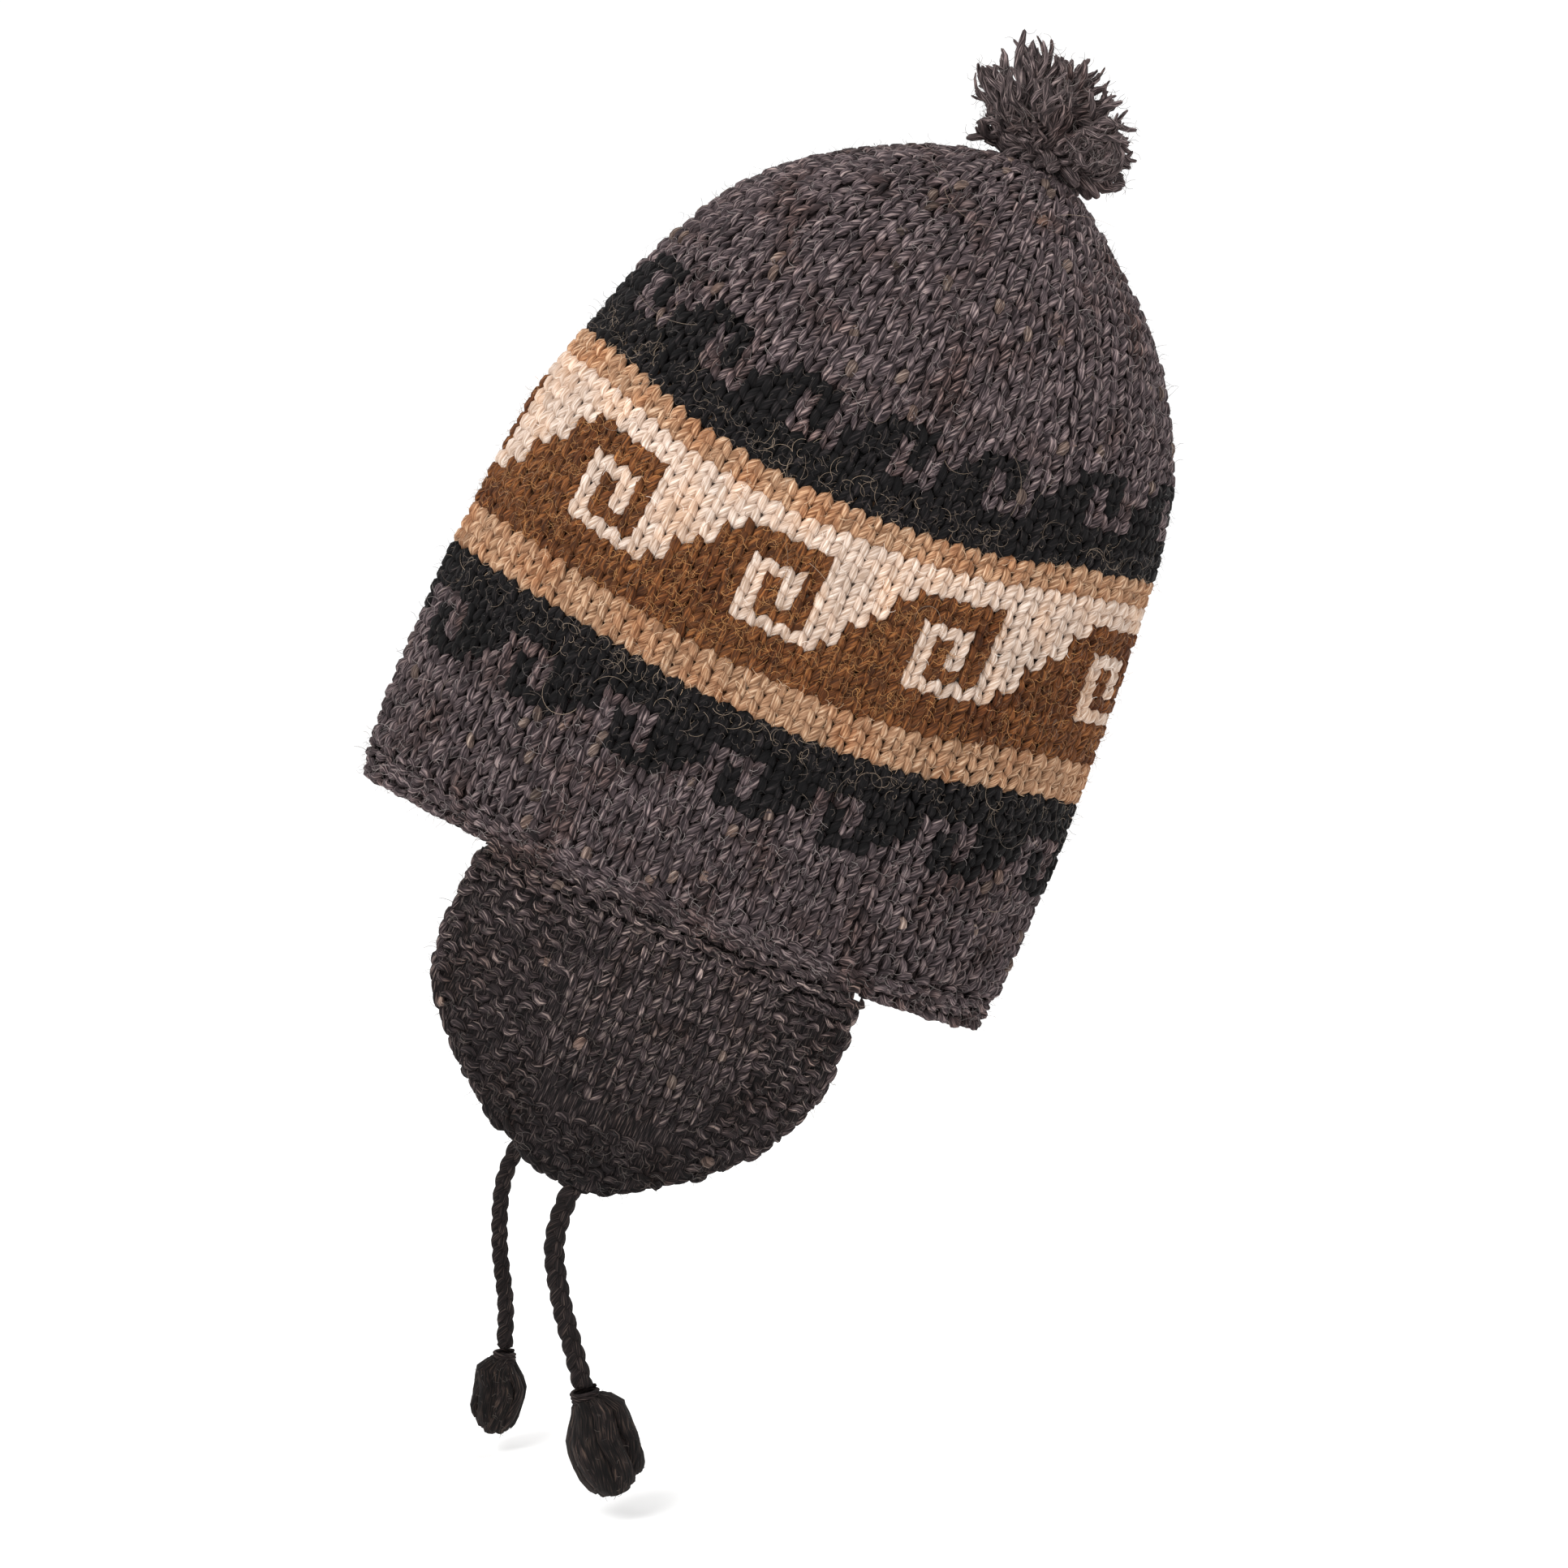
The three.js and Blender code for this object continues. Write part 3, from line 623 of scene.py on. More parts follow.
# Five handspun yarns: heathered grey, near-black, tan, a smoother cream two-ply and a fleecy brown.
grey_wool = spun_wool("grey_heather_wool", "#1d1719", "#443a3c", "#6b5d5e", "#9c8b87", "#7f6045", 0.78)
black_wool = spun_wool("black_wool", "#050405", "#0e0c0d", "#191617", "#383131", "#1b181c", 0.8)
tan_wool = spun_wool("tan_wool", "#78573f", "#a17b5f", "#b89576", "#d7bca3", "#a0764f", 0.78)
cream_wool = spun_wool("cream_two_ply_wool", "#a58d7b", "#c4ae9e", "#d3c1b3", "#e4d7cc", "#d0ac8c", 0.75)
brown_wool = spun_wool("brown_fleece_wool", "#3a2112", "#5d371d", "#764726", "#9d693b", "#56341c", 0.8)
yarns = [grey_wool, black_wool, tan_wool, cream_wool, brown_wool]
in_dome = legs[:, 0] >= DOME_ROW - 7
for name, yarn, chosen in (
    ("crown_lower_grey_stitches", GREY, ~in_dome),
    ("crown_top_grey_stitches", GREY, in_dome),
    ("crown_black_hook_stitches", BLACK, True),
    ("crown_tan_stripe_stitches", TAN, True),
    ("crown_cream_wave_stitches", CREAM, True),
    ("crown_brown_wave_stitches", BROWN, True),
):
    pick = (legs[:, 3] == yarn) & chosen
    strand_piece(
        name, leg_way[pick], leg_out[pick], leg_half[pick], 0.8 * leg_half[pick], leg_tone[pick], yarns[yarn],
    )

# Back of the crown's fabric: the loops' backs make small bumps on the inside, in the same bands of colour.
shell_rows = np.arange(row_low, row_high - TABLE_STEP, 0.5)
back_rows = np.append(shell_rows[:-1:4], shell_rows[-1])
shell_around = 2 * STITCHES
shares = (np.arange(shell_around) + 0.5) / shell_around


def shell_grid(table, rows):
    row, share = np.meshgrid(rows, shares, indexing="ij")
    return on_table(table, row, share), np.stack([share * 495, row * ROW], -1).reshape(-1, 2)


def grid_faces(rows, start, flip):
    r, c = np.meshgrid(np.arange(len(rows) - 1), np.arange(shell_around), indexing="ij")
    here, beside = r * shell_around + c, r * shell_around + (c + 1) % shell_around
    quad = np.stack([here, beside, beside + shell_around, here + shell_around], -1).reshape(-1, 4) + start
    yarn = [yarn_at(int(math.floor(row)), int(share * STITCHES)) for row in rows[:-1] for share in shares]
    return (quad[:, ::-1] if flip else quad), yarn


wall_out, back_uv = shell_grid(table_out, back_rows)
wall_in, _ = shell_grid(table_in, back_rows)
back = wall_out + 0.55 * (wall_in - wall_out)
inside, inside_uv = shell_grid(table_in, shell_rows)
outside, _ = shell_grid(table_out, shell_rows)
checker = (np.arange(len(shell_rows))[:, None] + np.arange(shell_around)[None]) % 2
front = inside + (0.7 * checker - 0.6)[..., None] * unit(inside - outside)
shell_points = np.concatenate([back.reshape(-1, 3), front.reshape(-1, 3)])
inner_start = len(back_rows) * shell_around
rim_one = np.arange(shell_around)
rim_two = (rim_one + 1) % shell_around
rim_faces = np.stack([rim_two, rim_one, rim_one + inner_start, rim_two + inner_start], -1)
back_faces, back_yarn = grid_faces(back_rows, 0, False)
inside_faces, inside_yarn = grid_faces(shell_rows, inner_start, True)
shell_quads = np.concatenate([back_faces, inside_faces, rim_faces])
back_top = (len(back_rows) - 1) * shell_around
inside_top = inner_start + (len(shell_rows) - 1) * shell_around
cap_start = len(shell_points)
caps = leaned(np.array([CROWN_TOP - [0, 0, 0.5 * WALL], CROWN_TOP - [0, 0, WALL]]))
shell_points = np.concatenate([shell_points, caps])
cap_out = np.stack([back_top + rim_one, back_top + rim_two, np.full(shell_around, cap_start)], -1)
cap_in = np.stack([inside_top + rim_two, inside_top + rim_one, np.full(shell_around, cap_start + 1)], -1)
shell_triangles = np.concatenate([cap_out, cap_in])
face_yarn = np.array(back_yarn + inside_yarn + [GREY] * (len(rim_faces) + len(shell_triangles)))
flat_uv = np.concatenate([back_uv, inside_uv, np.zeros((2, 2))])
# The whole shell is darkened to tone 0.75: painted shade in the gaps behind the stitches and on the inside of
# the hat.
shell = mesh_piece(
    "crown_fabric_back", shell_points, [shell_quads, shell_triangles],
    [flat_uv[shell_quads], flat_uv[shell_triangles]], np.full(len(shell_points), 0.75), yarns,
    face_yarn,
)
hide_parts("crown")

# Garter rim: ridges of purl bumps above the cast-on edge, which is wrapped over the rim. The flaps take the
# place of that edge where they are knitted on.
RIDGES = ((2.4, 0.0), (5.5, -0.8), (8.6, 0.0))
RIM_LOOPS = 150
BUMP_STEPS = np.linspace(0, 1, 6)
BUMP_WIDTH = np.array([0.35, 0.8, 1, 1, 0.8, 0.35])
ridge_ways, ridge_outs = [], []
arch = np.sin(math.pi * BUMP_STEPS)
for ridge, sunk_by in RIDGES:
    for shift, lift, bow in ((0.0, 0.8, 2.2), (0.5, -0.9, -2.0)):
        centre = np.arange(STITCHES)[:, None] + 0.5 + shift + chance.normal(0, 0.09, (STITCHES, 1))
        tilt = chance.normal(0, 0.9, (STITCHES, 1)) * (BUMP_STEPS - 0.5)
        height = ridge + lift + bow * (arch - 0.4) + tilt + chance.normal(0, 0.4, (STITCHES, 1))
        row = (height - GARTER_BAND) / ROW
        share = column_share(centre) + 1.05 * (BUMP_STEPS - 0.5) / STITCHES
        normal = on_table(table_normal, row, share)
        swell = sunk_by - 2.0 + 2.1 * arch + chance.normal(0, 0.2, (STITCHES, 1))
        swell = swell - 1.4 * np.abs(normal[..., 0]) ** 3
        ridge_outs.append(normal)
        ridge_ways.append(on_table(table_out, row, share) + swell[..., None] * normal)
edge_share = (np.arange(RIM_LOOPS)[:, None] + 0.25 + 0 * BUMP_STEPS) / RIM_LOOPS
edge_out = on_table(table_out, row_low + 0 * edge_share, edge_share)
edge_in = on_table(table_in, row_low + 0 * edge_share, edge_share)
edge_turn = math.pi * BUMP_STEPS[None, :, None]
edge_middle = (edge_out + edge_in) / 2
down = leaned(np.array([0, 0, -1.0]))
edge_way = edge_middle + 0.36 * (edge_out - edge_in) * np.cos(edge_turn)
edge_way = edge_way + (0.9 * np.sin(edge_turn) - 0.6) * down
edge_normal = unit(edge_way - edge_middle + 0.2 * down)
lean_back = edge_middle[:, 0, 0] * math.cos(LEAN) - edge_middle[:, 0, 2] * math.sin(LEAN)
flap_shift = np.where(edge_middle[:, 0, 1] < 0, FLAPS["left"][1], FLAPS["right"][1])
bare = (lean_back < FLAP_ROWS[0, 1] + flap_shift) | (lean_back > FLAP_ROWS[0, 2] + flap_shift)
ridge_ways.append(edge_way[bare])
ridge_outs.append(edge_normal[bare])
ridge_ways = np.concatenate(ridge_ways)
ridge_outs = np.concatenate(ridge_outs)
bump_half = 1.25 * chance.normal(1, 0.15, (len(ridge_ways), 1)) * BUMP_WIDTH
strand_piece(
    "crown_garter_rim", ridge_ways, ridge_outs, 1.1 * bump_half, bump_half,
    chance.normal(0.86, 0.18, len(ridge_ways)), grey_wool,
)


# Ear flaps: knitted on from the rim downwards, plain stitches in the middle and a garter border round them
# that is widest below. The tie is fixed at the tip. The same grey wool, a little darker.
# The flap wool's darker colours are partly the yarn's own tone and partly painted shade of the flaps, which
# hang down away from the light.
flap_wool = spun_wool(
    "dark_grey_heather_wool_and_painted_shade", "#0e0a0b", "#2e2627", "#504545", "#8d7d76", "#6a4f38", 0.76,
    sheen=DARK_WOOL_SHEEN,
)
PLAIN_SHARE = (0.30, 0.80)
PLAIN_DROP = 59.0
FLAP_STITCH = 5.3
RIDGE_PITCH = 6.4
JOIN_DROP = 3.0
SELVEDGE_PITCH = 4.4


def flap_face(flap, drop, root_x, depth):
    """Points at a depth from the middle of the fabric, positive to the outside, and the outward normals."""
    middle = flap_middle(flap, drop, root_x)
    along = flap_middle(flap, drop, root_x + 0.5) - flap_middle(flap, drop, root_x - 0.5)
    below = flap_middle(flap, drop + 0.5, root_x) - flap_middle(flap, drop - 0.5, root_x)
    out = unit(np.cross(below, along)) * np.where(FLAPS[flap][0] < 0, 1, -1)
    return leaned(middle + np.asarray(depth)[..., None] * out), leaned(out)


def flap_edges(flap, drop):
    """Front and back ends of the fabric at a drop."""
    shift = FLAPS[flap][1]
    return (np.interp(drop, FLAP_ROWS[:, 0], FLAP_ROWS[:, k]) + shift for k in (1, 2))


def flap_outline(flap, spacing):
    """Drops and places of evenly spaced points along a flap's edge, from its front corner round the tip."""
    shift = FLAPS[flap][1]
    front_way = FLAP_ROWS[:, [0, 1]]
    rear_way = FLAP_ROWS[::-1, [0, 2]]
    line = np.concatenate([front_way, rear_way]) + [0, shift]
    run = np.concatenate([[0], np.cumsum(np.linalg.norm(np.diff(line, axis=0), axis=1))])
    even_run = np.arange(spacing, run[-1] - spacing, spacing)
    reach = even_run[:, None] + 1.55 * spacing * (BUMP_STEPS - 0.5)
    return np.interp(reach, run, line[:, 0]), np.interp(reach, run, line[:, 1])


def join_swell(drop):
    """How far the stitches stand out near the rim, so that they meet the rim's bumps."""
    return 1.5 * np.exp(-((drop / 6) ** 2))


flap_strands = {}
for flap in FLAPS:
    ways, outs, halves, drops_down = [], [], [], []

    def lay(drop, root_x, depth, half):
        points, normals = flap_face(flap, drop, root_x, depth)
        ways.append(points)
        outs.append(normals)
        halves.append(half + 0 * root_x)
        drops_down.append(drop.mean(1))

    columns = np.arange(-80, 80, FLAP_STITCH) + FLAPS[flap][1]
    for drop in np.arange(6.0, PLAIN_DROP, ROW):
        front, rear = flap_edges(flap, drop)
        share = (columns - front) / (rear - front)
        plain = columns[(share > PLAIN_SHARE[0]) & (share < PLAIN_SHARE[1])][:, None]
        for hand in (-1, 1):
            wobble = chance.normal(0, 0.2, plain.shape)
            x = plain + hand * FLAP_STITCH * (0.03 + YARN_SPLAY[GREY] * LEG_STEPS**0.88) + wobble
            x = x + chance.normal(0, 0.45, plain.shape) * LEG_STEPS
            d = drop - ROW * (LEG_FOOT + LEG_RISE * LEG_STEPS) + chance.normal(0, 0.35, plain.shape)
            arched = LEG_DEPTH + LEG_ARCH * np.sin(math.pi * (0.08 + 0.84 * LEG_STEPS))
            depth = WALL / 2 + arched + join_swell(d) + 0 * x
            lay(d, x, depth, LEG_HALF * LEG_WIDTH * chance.normal(1, 0.1, plain.shape))
    for face in (1, -1):
        for drop in np.append([-1.6, 1.9], np.arange(6.6, FLAP_DROP - 1, RIDGE_PITCH)):
            front, rear = flap_edges(flap, drop)
            for shift, lift, bow in ((0.0, -0.8, -2.2), (0.5, 0.9, 2.0)):
                x0 = columns + shift * FLAP_STITCH
                share = (x0 - front) / (rear - front)
                border = (share < PLAIN_SHARE[0]) | (share > PLAIN_SHARE[1])
                border = border | (drop > PLAIN_DROP - 1) | (drop < JOIN_DROP)
                x0 = x0[(x0 > front + 1) & (x0 < rear - 1) & (border | (face < 0))][:, None]
                if len(x0) == 0:
                    continue
                x = x0 + 1.1 * FLAP_STITCH * (BUMP_STEPS - 0.5) + chance.normal(0, 0.5, x0.shape)
                tilt = chance.normal(0, 1.0, x0.shape) * (BUMP_STEPS - 0.5)
                d = drop + lift + bow * (arch - 0.4) + tilt + chance.normal(0, 0.5, x0.shape) + 0 * x
                near, far = flap_edges(flap, np.clip(d, 0, FLAP_DROP))
                depth = face * (WALL / 2 - 2.0 + 2.0 * arch + (join_swell(d) if face > 0 else 0)) + 0 * x
                half = 1.25 * BUMP_WIDTH * chance.normal(1, 0.16, x0.shape)
                lay(d, np.clip(x, near + 1, far - 1), depth, half)
    edge_drop, edge_x = flap_outline(flap, SELVEDGE_PITCH)
    edge_x = edge_x + chance.normal(0, 0.5, (len(edge_x), 1))
    edge_drop = edge_drop + chance.normal(0, 0.5, (len(edge_x), 1))
    half = 1.55 * BUMP_WIDTH * chance.normal(1, 0.2, (len(edge_x), 1))
    lay(edge_drop, edge_x, 0.3 * arch + 0 * edge_x, half)
    ways, outs, halves = np.concatenate(ways), np.concatenate(outs), np.concatenate(halves)
    # Painted shade: the flap stitches are brighter at the root and darken steeply down to the tip, which
    # turns away from the light.
    shade = np.interp(np.concatenate(drops_down), [0, 8, 40, 80], [1.3, 1.2, 0.95, 0.15])
    tones = chance.normal(1, 0.2, len(ways)) * shade
    strand_piece(
        f"{flap}_flap_stitches", ways, outs, halves, 0.85 * halves, tones, flap_wool
    )
    flap_strands[flap] = (ways, outs, halves)

    rows_down, columns_over = 42, 40
    drops = np.linspace(0, FLAP_DROP, rows_down)
    fronts, rears = flap_edges(flap, drops)
    over = np.linspace(0, 1, columns_over)
    grid_x = fronts[:, None] + (rears - fronts)[:, None] * over
    grid_drop = drops[:, None] + 0 * over
    half = 0.5 * WALL * (0.62 - 0.3 * (np.abs(2 * over - 1) ** 12)[None] + 0 * grid_x)
    faces_out, _ = flap_face(flap, grid_drop, grid_x, half)
    faces_in, _ = flap_face(flap, grid_drop, grid_x, -half)
    points = np.concatenate([faces_out.reshape(-1, 3), faces_in.reshape(-1, 3)])
    r, c = np.meshgrid(np.arange(rows_down - 1), np.arange(columns_over - 1), indexing="ij")
    a = (r * columns_over + c).ravel()
    sheet = np.stack([a, a + columns_over, a + columns_over + 1, a + 1], -1)
    other = sheet[:, ::-1] + rows_down * columns_over
    loop_index = np.concatenate(
        [
            np.arange(columns_over),
            np.arange(1, rows_down) * columns_over + columns_over - 1,
            (rows_down - 1) * columns_over + np.arange(columns_over - 2, -1, -1),
            np.arange(rows_down - 2, 0, -1) * columns_over,
        ]
    )
    following = np.roll(loop_index, -1)
    back_start = rows_down * columns_over
    rim = np.stack([loop_index, following, following + back_start, loop_index + back_start], -1)
    quads = np.concatenate([sheet, other, rim])
    if FLAPS[flap][0] > 0:
        quads = quads[:, ::-1]
    uv = np.concatenate([np.stack([grid_x, grid_drop], -1).reshape(-1, 2)] * 2)
    # The fabric sheet under the stitches is darkened to tone 0.4: painted shade in the gaps between the
    # stitches.
    body = mesh_piece(
        f"{flap}_flap_fabric", points, [quads], [uv[quads]], np.full(len(points), 0.4), [flap_wool],
    )
    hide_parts(f"{flap}_ear_flap")


# Pompom: a tuft of thick locks of the crown's grey wool, hardly spun, tied down on the top of the crown.
# The locks fan out and droop. Short ones round the neck hide the tying, and one group curls over in front.
POMPOM_RINGS = [
    (1, 4, 31, 15, 0, 200, 0),
    (5, 26, 32, 15, 4, 16, 0.16),
    (7, 52, 28, 14, 6, 0, 0.1),
    (6, 80, 21, 14, 6, 0, -0.12),
]
POMPOM_LOCKS = 24
NECK_LOCKS = 26
CURL_LOCKS = 9
CURL_RADIUS = 4.8
CURL_MIDDLE = np.array([13.0, -16.0, 8.0])
tuft_wool = spun_wool(
    "unspun_grey_wool", "#1d1819", "#443b3b", "#6e6060", "#9b8b86", "#6b4936", 0.78, fibre_mm=0.4
)
BLUNT_TAPER = np.array([0.6, 0.8, 0.95, 1, 1, 1, 1, 0.9, 0.7, 0.45, 0.3])
state = 7


def next_number():
    """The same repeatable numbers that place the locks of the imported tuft."""
    global state
    state = (state * 16807) % 2147483647
    return state / 2147483647


ways, outs, halves = [], [], []
lock_steps = LOCK_STEPS[:, None]
for locks, lean_deg, ring_length, width, root_reach, turn_deg, forward in POMPOM_RINGS:
    for i in range(locks):
        turn = 2 * math.pi * i / locks + math.radians(turn_deg)
        lean = math.radians(lean_deg + 10 * (next_number() - 0.5))
        length = ring_length * (1 - forward * math.cos(turn)) * (0.9 + 0.18 * next_number())
        out = np.array([math.cos(turn), math.sin(turn), 0])
        way_out = np.array([0, 0, math.cos(lean)]) + out * math.sin(lean)
        root = root_reach * out + [0, 0, 4]
        middle = root + 0.5 * length * way_out + [0, 0, 0.1 * length]
        tip = root + length * way_out
        sideways = unit(np.cross(way_out, [0.3, 0.9, 0.2]))
        upward = np.cross(sideways, way_out)
        for _ in range(POMPOM_LOCKS):
            angle = chance.uniform(0, 2 * math.pi)
            apart = width / 2 * math.sqrt(chance.uniform(0.05, 1)) * 0.7
            beside = apart * (math.cos(angle) * sideways + math.sin(angle) * upward)
            reach = chance.uniform(0.62, 0.97)
            t = lock_steps * reach
            line = (1 - t) ** 2 * root + 2 * t * (1 - t) * middle + t**2 * tip
            swell = np.interp(lock_steps, [0, 0.25, 0.6, 1], [0.35, 0.8, 1, 1.02])
            crimp = 2.1 * np.sin(chance.uniform(7, 13) * lock_steps + chance.uniform(0, 6)) * sideways
            crimp = crimp + 2.0 * np.sin(chance.uniform(6, 11) * lock_steps + chance.uniform(0, 6)) * upward
            ways.append(line + swell * beside + crimp * lock_steps)
            outs.append(np.broadcast_to(upward, line.shape))
            halves.append(chance.uniform(0.6, 1.5) * BLUNT_TAPER)
for i in range(NECK_LOCKS):
    turn = 2 * math.pi * i / NECK_LOCKS + chance.normal(0, 0.15)
    out = np.array([math.cos(turn), math.sin(turn), 0])
    reach = chance.uniform(9, 14) * (1.1 + 0.35 * math.cos(turn))
    fall = chance.uniform(4, 7)
    t = lock_steps
    sway = 1.2 * np.sin(8 * t + chance.uniform(0, 6)) * np.cross(out, [0, 0, 1])
    ways.append((2 + reach * t) * out + (6 - (fall + 2) * t**1.4) * np.array([0, 0, 1]) + sway)
    outs.append(np.broadcast_to([0, 0, 1.0], (len(t), 3)))
    halves.append(chance.uniform(2.0, 2.8) * BLUNT_TAPER)
for i in range(CURL_LOCKS):
    bend = np.radians(210 - 260 * lock_steps) + chance.normal(0, 0.3)
    circle = np.cos(bend) * np.array([1.0, 0, 0]) + np.sin(bend) * np.array([0, -0.25, 1.0])
    curl = (CURL_RADIUS + 0.6 * (i - 4) + np.sin(9 * lock_steps + i)) * circle
    ways.append(CURL_MIDDLE + chance.normal(0, 0.9, 3) + curl)
    outs.append(np.broadcast_to([0, -1.0, 0], (len(bend), 3)))
    halves.append(chance.uniform(0.8, 1.5) * BLUNT_TAPER)
ways, outs, halves = leaned(np.array(ways) + CROWN_TOP), leaned(np.array(outs)), np.array(halves)
tuft = strand_piece(
    "pompom_locks", ways, outs, halves, 0.85 * halves,
    chance.normal(1.14, 0.18, len(ways)), tuft_wool, twist=0.2,
)
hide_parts("pompom")
tuft_strands = (ways, outs, halves)


# Loose fibres: short hairs stand off every yarn, pale curls of coarser guard hairs lie on the black bands
# beside the tan stripes, and a few long hairs stray over the crown. They are drawn thicker than real
# fibres, which would be too fine to show.
HAIR_WIDTH = 0.14
HAIR_POINTS = 4
CURL_ROWS = [13, 14, 32, 33]


def loose_fibre(name, dark, light, sheen):
    """Single wool fibres: plain colour from dark to light by the hair, slightly shiny."""
    made = bpy.data.materials.new(name)
    made.use_nodes = True
    tree = made.node_tree
    shader = tree.nodes["Principled BSDF"]
    shader.inputs["Roughness"].default_value = 0.6
    shader.inputs["Specular IOR Level"].default_value = 0.3
    shader.inputs["Sheen Weight"].default_value = sheen
    tone = add_node(tree, "ShaderNodeAttribute", {"attribute_name": "tone"})
    shade = add_node(tree, "ShaderNodeMix", {"data_type": "RGBA"}, links={0: tone.outputs["Fac"]})
    shade.inputs[6].default_value = linear(dark)
    shade.inputs[7].default_value = linear(light)
    tree.links.new(shade.outputs[2], shader.inputs["Base Color"])
    return made


def hair_ways(roots, outs, length, lift, curl, points):
    """Hairs that start along the surface, turn by curl on their way and rise by lift times their length."""
    count = len(roots)
    side = unit(np.cross(outs, chance.normal(size=(count, 3))))
    other = np.cross(outs, side)
    steps = np.linspace(0, 1, points)
    heading = curl[:, None] * steps
    part = length[:, None] / (points - 1)
    forward = np.cumsum(np.cos(heading) * part, 1) - part
    sideways = np.cumsum(np.sin(heading) * part, 1)
    rise = lift[:, None] * length[:, None] * steps
    ways = roots[:, None] + forward[..., None] * side[:, None] + sideways[..., None] * other[:, None]
    return ways + rise[..., None] * outs[:, None]


def hair_piece(name, ways, outs, tones, material, width=HAIR_WIDTH):
    """Flat hairs as strips that face away from the surface."""
    count, points = ways.shape[:2]
    along = unit(np.gradient(ways, axis=1))
    across = unit(np.cross(along, outs[:, None])) * (0.5 * width * np.linspace(1, 0.5, points))[:, None]
    vertices = np.stack([ways - across, ways + across], 2).reshape(-1, 3)
    start = (np.arange(count) * points * 2)[:, None] + 2 * np.arange(points - 1)
    quads = np.stack([start, start + 1, start + 3, start + 2], -1).reshape(-1, 4)
    uv = np.zeros((len(vertices), 2))
    uv[:, 0] = np.arange(len(vertices)) % 2
    return mesh_piece(name, vertices, [quads], [uv[quads]], np.repeat(tones, points * 2), [material])


def fuzz(name, ways, outs, halves, count, lengths, lifts, curls, points, material, slot, width=HAIR_WIDTH):
    """Hairs on randomly chosen places of a set of strands."""
    strand = chance.integers(0, len(ways), count)
    place = chance.integers(1, ways.shape[1] - 1, count)
    out = outs[strand, place]
    roots = ways[strand, place] + halves[strand, place][:, None] * 0.7 * out
    made = hair_ways(
        roots, out, chance.uniform(*lengths, count), chance.uniform(*lifts, count),
        chance.uniform(*curls, count) * chance.choice([-1, 1], count), points,
    )
    return hair_piece(name, made, out, chance.uniform(0, 1, count), material, width)


grey_fibre = loose_fibre("grey_wool_fibre", "#2b2727", "#8d8380", 0.2)
black_fibre = loose_fibre("black_wool_fibre", "#100d0d", "#55483f", 0.2)
tan_fibre = loose_fibre("tan_wool_fibre", "#8a664a", "#d3b595", 0.2)
cream_fibre = loose_fibre("cream_wool_fibre", "#cdbcad", "#f0e6dc", 0.2)
brown_fibre = loose_fibre("brown_wool_fibre", "#4a2c14", "#b07c45", 0.2)
guard_hair = loose_fibre("pale_guard_hair", "#3b3029", "#9a8672", 0.2)
dark_fibre = loose_fibre("dark_wool_fibre", "#120f0f", "#4d443e", 0.2)
for name, yarn, count, lengths, lifts, curls, fibre in (
    ("crown_grey_fuzz", GREY, 7000, (1.5, 4.5), (0.1, 0.8), (0.2, 2.5), grey_fibre),
    ("crown_black_fuzz", BLACK, 3500, (1.5, 4.5), (0.1, 0.7), (0.5, 4), black_fibre),
    ("crown_tan_fuzz", TAN, 1800, (1.5, 3.5), (0.1, 0.6), (0.2, 2.5), tan_fibre),
    ("crown_cream_fuzz", CREAM, 700, (1.5, 3), (0.1, 0.4), (0.2, 2), cream_fibre),
    ("crown_brown_fuzz", BROWN, 7000, (2, 5), (0.1, 0.6), (0.5, 4.5), brown_fibre),
):
    pick = legs[:, 3] == yarn
    strands = (leg_way[pick], leg_out[pick], leg_half[pick])
    fuzz(name, *strands, count, lengths, lifts, curls, HAIR_POINTS, fibre, "crown_wool")
curl_rows = np.isin(legs[:, 0], CURL_ROWS) & (legs[:, 3] == BLACK)
fuzz(
    "crown_guard_hair_curls", leg_way[curl_rows], leg_out[curl_rows], leg_half[curl_rows], 1500, (2.5, 8),
    (0.1, 0.5), (0.8, 4.2), 9, guard_hair, "crown_wool", 0.1,
)
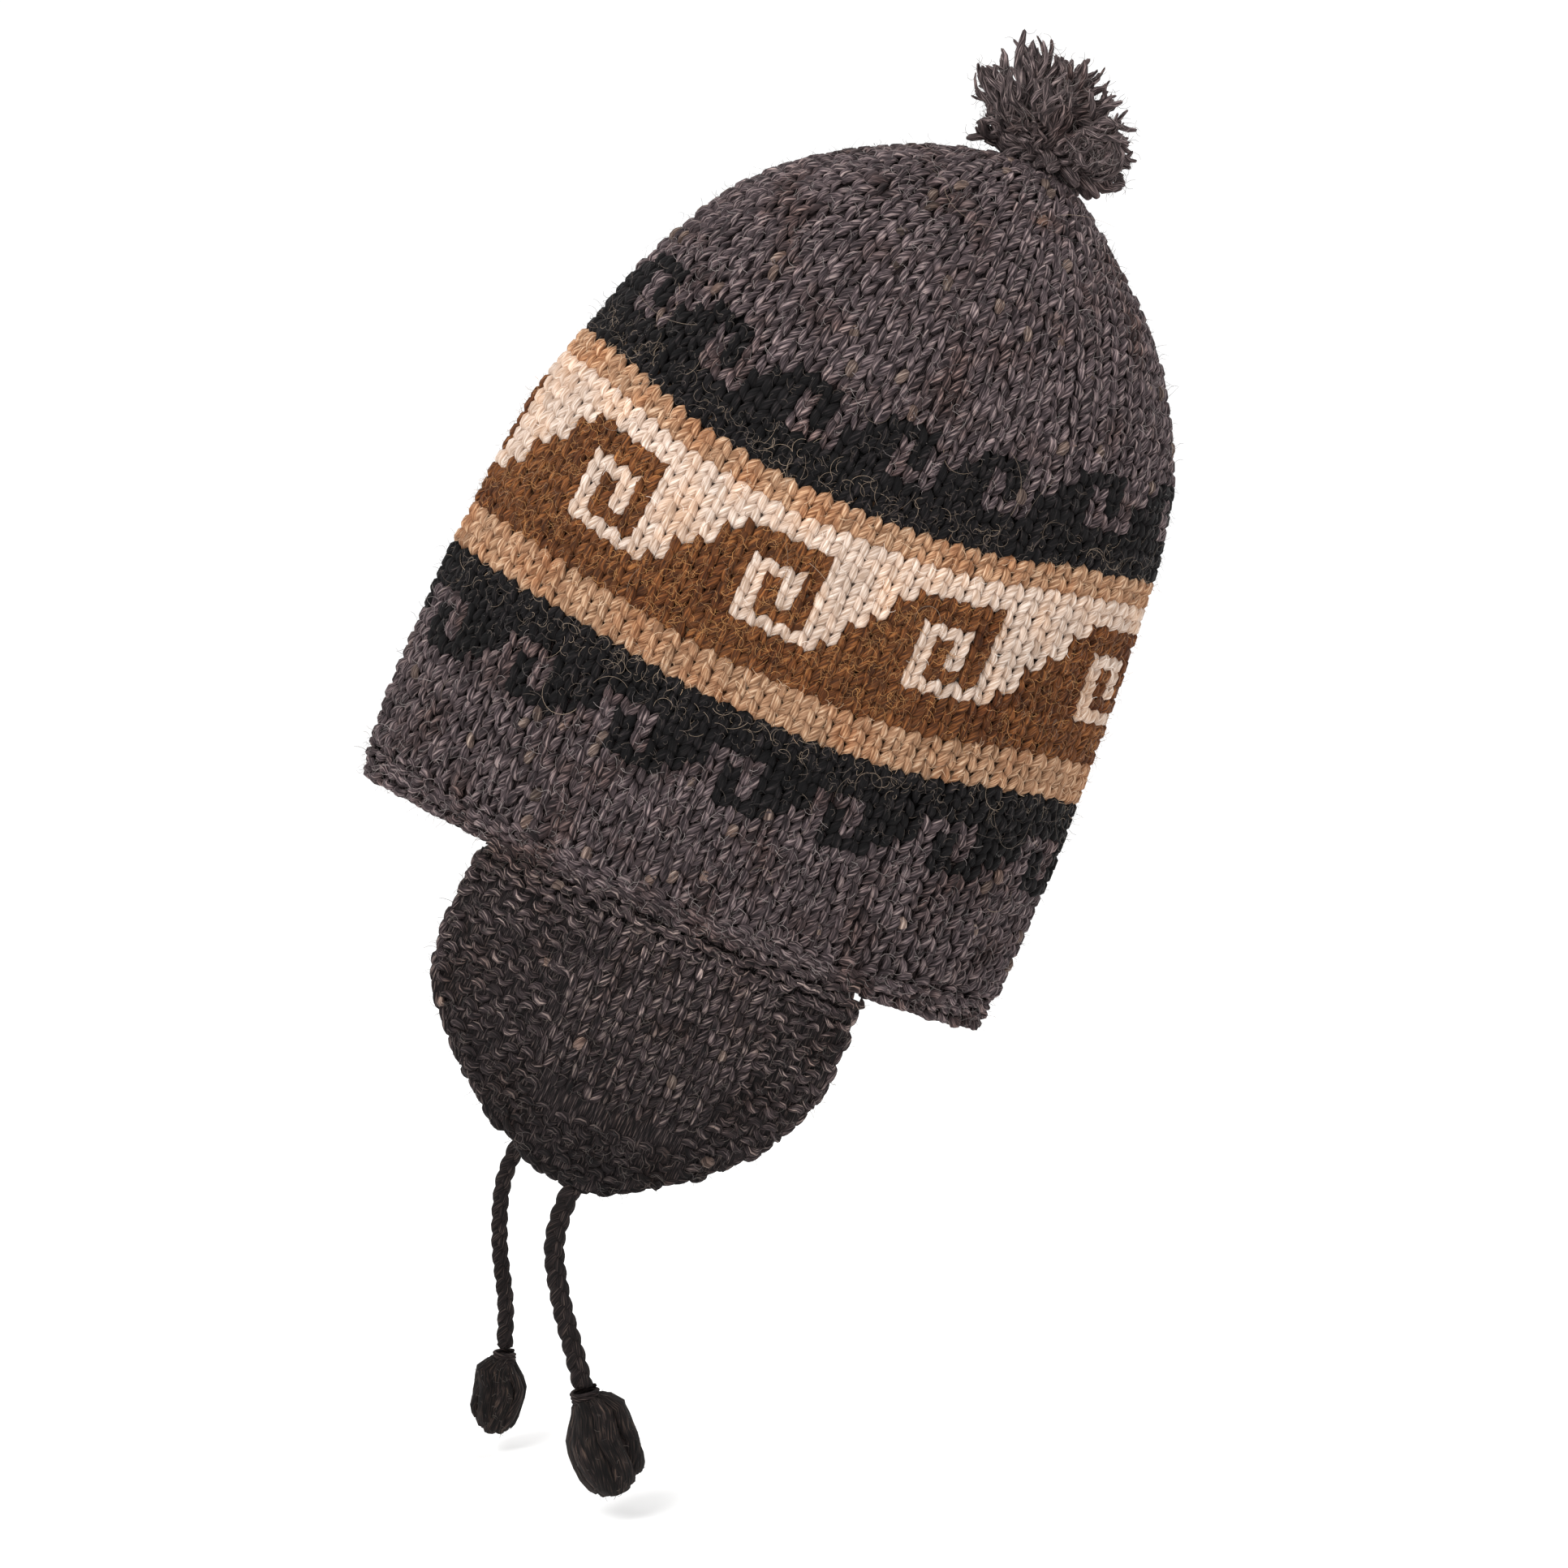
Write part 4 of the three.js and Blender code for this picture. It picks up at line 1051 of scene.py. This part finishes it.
fuzz(
    "crown_long_hairs", leg_way, leg_out, leg_half, 90, (9, 24), (0.05, 0.2), (0.5, 4), 12, guard_hair,
    "crown_wool", 0.12,
)
fuzz(
    "rim_fuzz", ridge_ways, ridge_outs, bump_half, 1500, (1.5, 4.5), (0.1, 0.9), (0.2, 2.5), HAIR_POINTS,
    grey_fibre, "crown_wool",
)
fuzz(
    "pompom_fuzz", *tuft_strands, 4000, (2, 5), (0.1, 0.6), (0.2, 2.5), HAIR_POINTS, grey_fibre, "pompom_wool"
)
for flap in FLAPS:
    fuzz(
        f"{flap}_flap_fuzz", *flap_strands[flap], 2600, (1.5, 4), (0.1, 0.9), (0.2, 2.5), HAIR_POINTS,
        dark_fibre, "flap_wool",
    )
    fuzz(
        f"{flap}_tassel_fuzz", *tassel_strands[flap], 350, (1.5, 3.2), (0.1, 0.4), (0.5, 3), HAIR_POINTS,
        dark_fibre, "tassel_wool",
    )


# Neps: small knots of paler or browner fibre that were left in the handspun grey yarn when it was spun.
# They lie over a stitch here and there on the crown and the flaps.
nep_wool = spun_wool("wool_neps", "#3a2e2a", "#62524b", "#837168", "#a8968a", "#7d5239", 0.74)
NEP_WIDTH = np.array([0.3, 0.8, 1, 1, 0.8, 0.3])
grey_legs = legs[:, 3] == GREY
for name, (nep_from, nep_outs), count, slot in (
    ("crown_neps", (leg_way[grey_legs], leg_out[grey_legs]), 150, "crown_wool"),
    ("left_flap_neps", flap_strands["left"][:2], 12, "flap_wool"),
    ("right_flap_neps", flap_strands["right"][:2], 12, "flap_wool"),
):
    pick = chance.integers(0, len(nep_from), count)
    middle = nep_from[pick, 2:4].mean(1, keepdims=True)
    along = 0.7 * (nep_from[pick] - middle)
    raise_by = chance.uniform(0.1, 0.5, (count, 1, 1))
    half = chance.uniform(1.1, 1.8, (count, 1)) * NEP_WIDTH
    strand_piece(
        name, middle + along + raise_by * nep_outs[pick], nep_outs[pick], half, 0.7 * half,
        chance.normal(0.8, 0.25, count), nep_wool,
    )
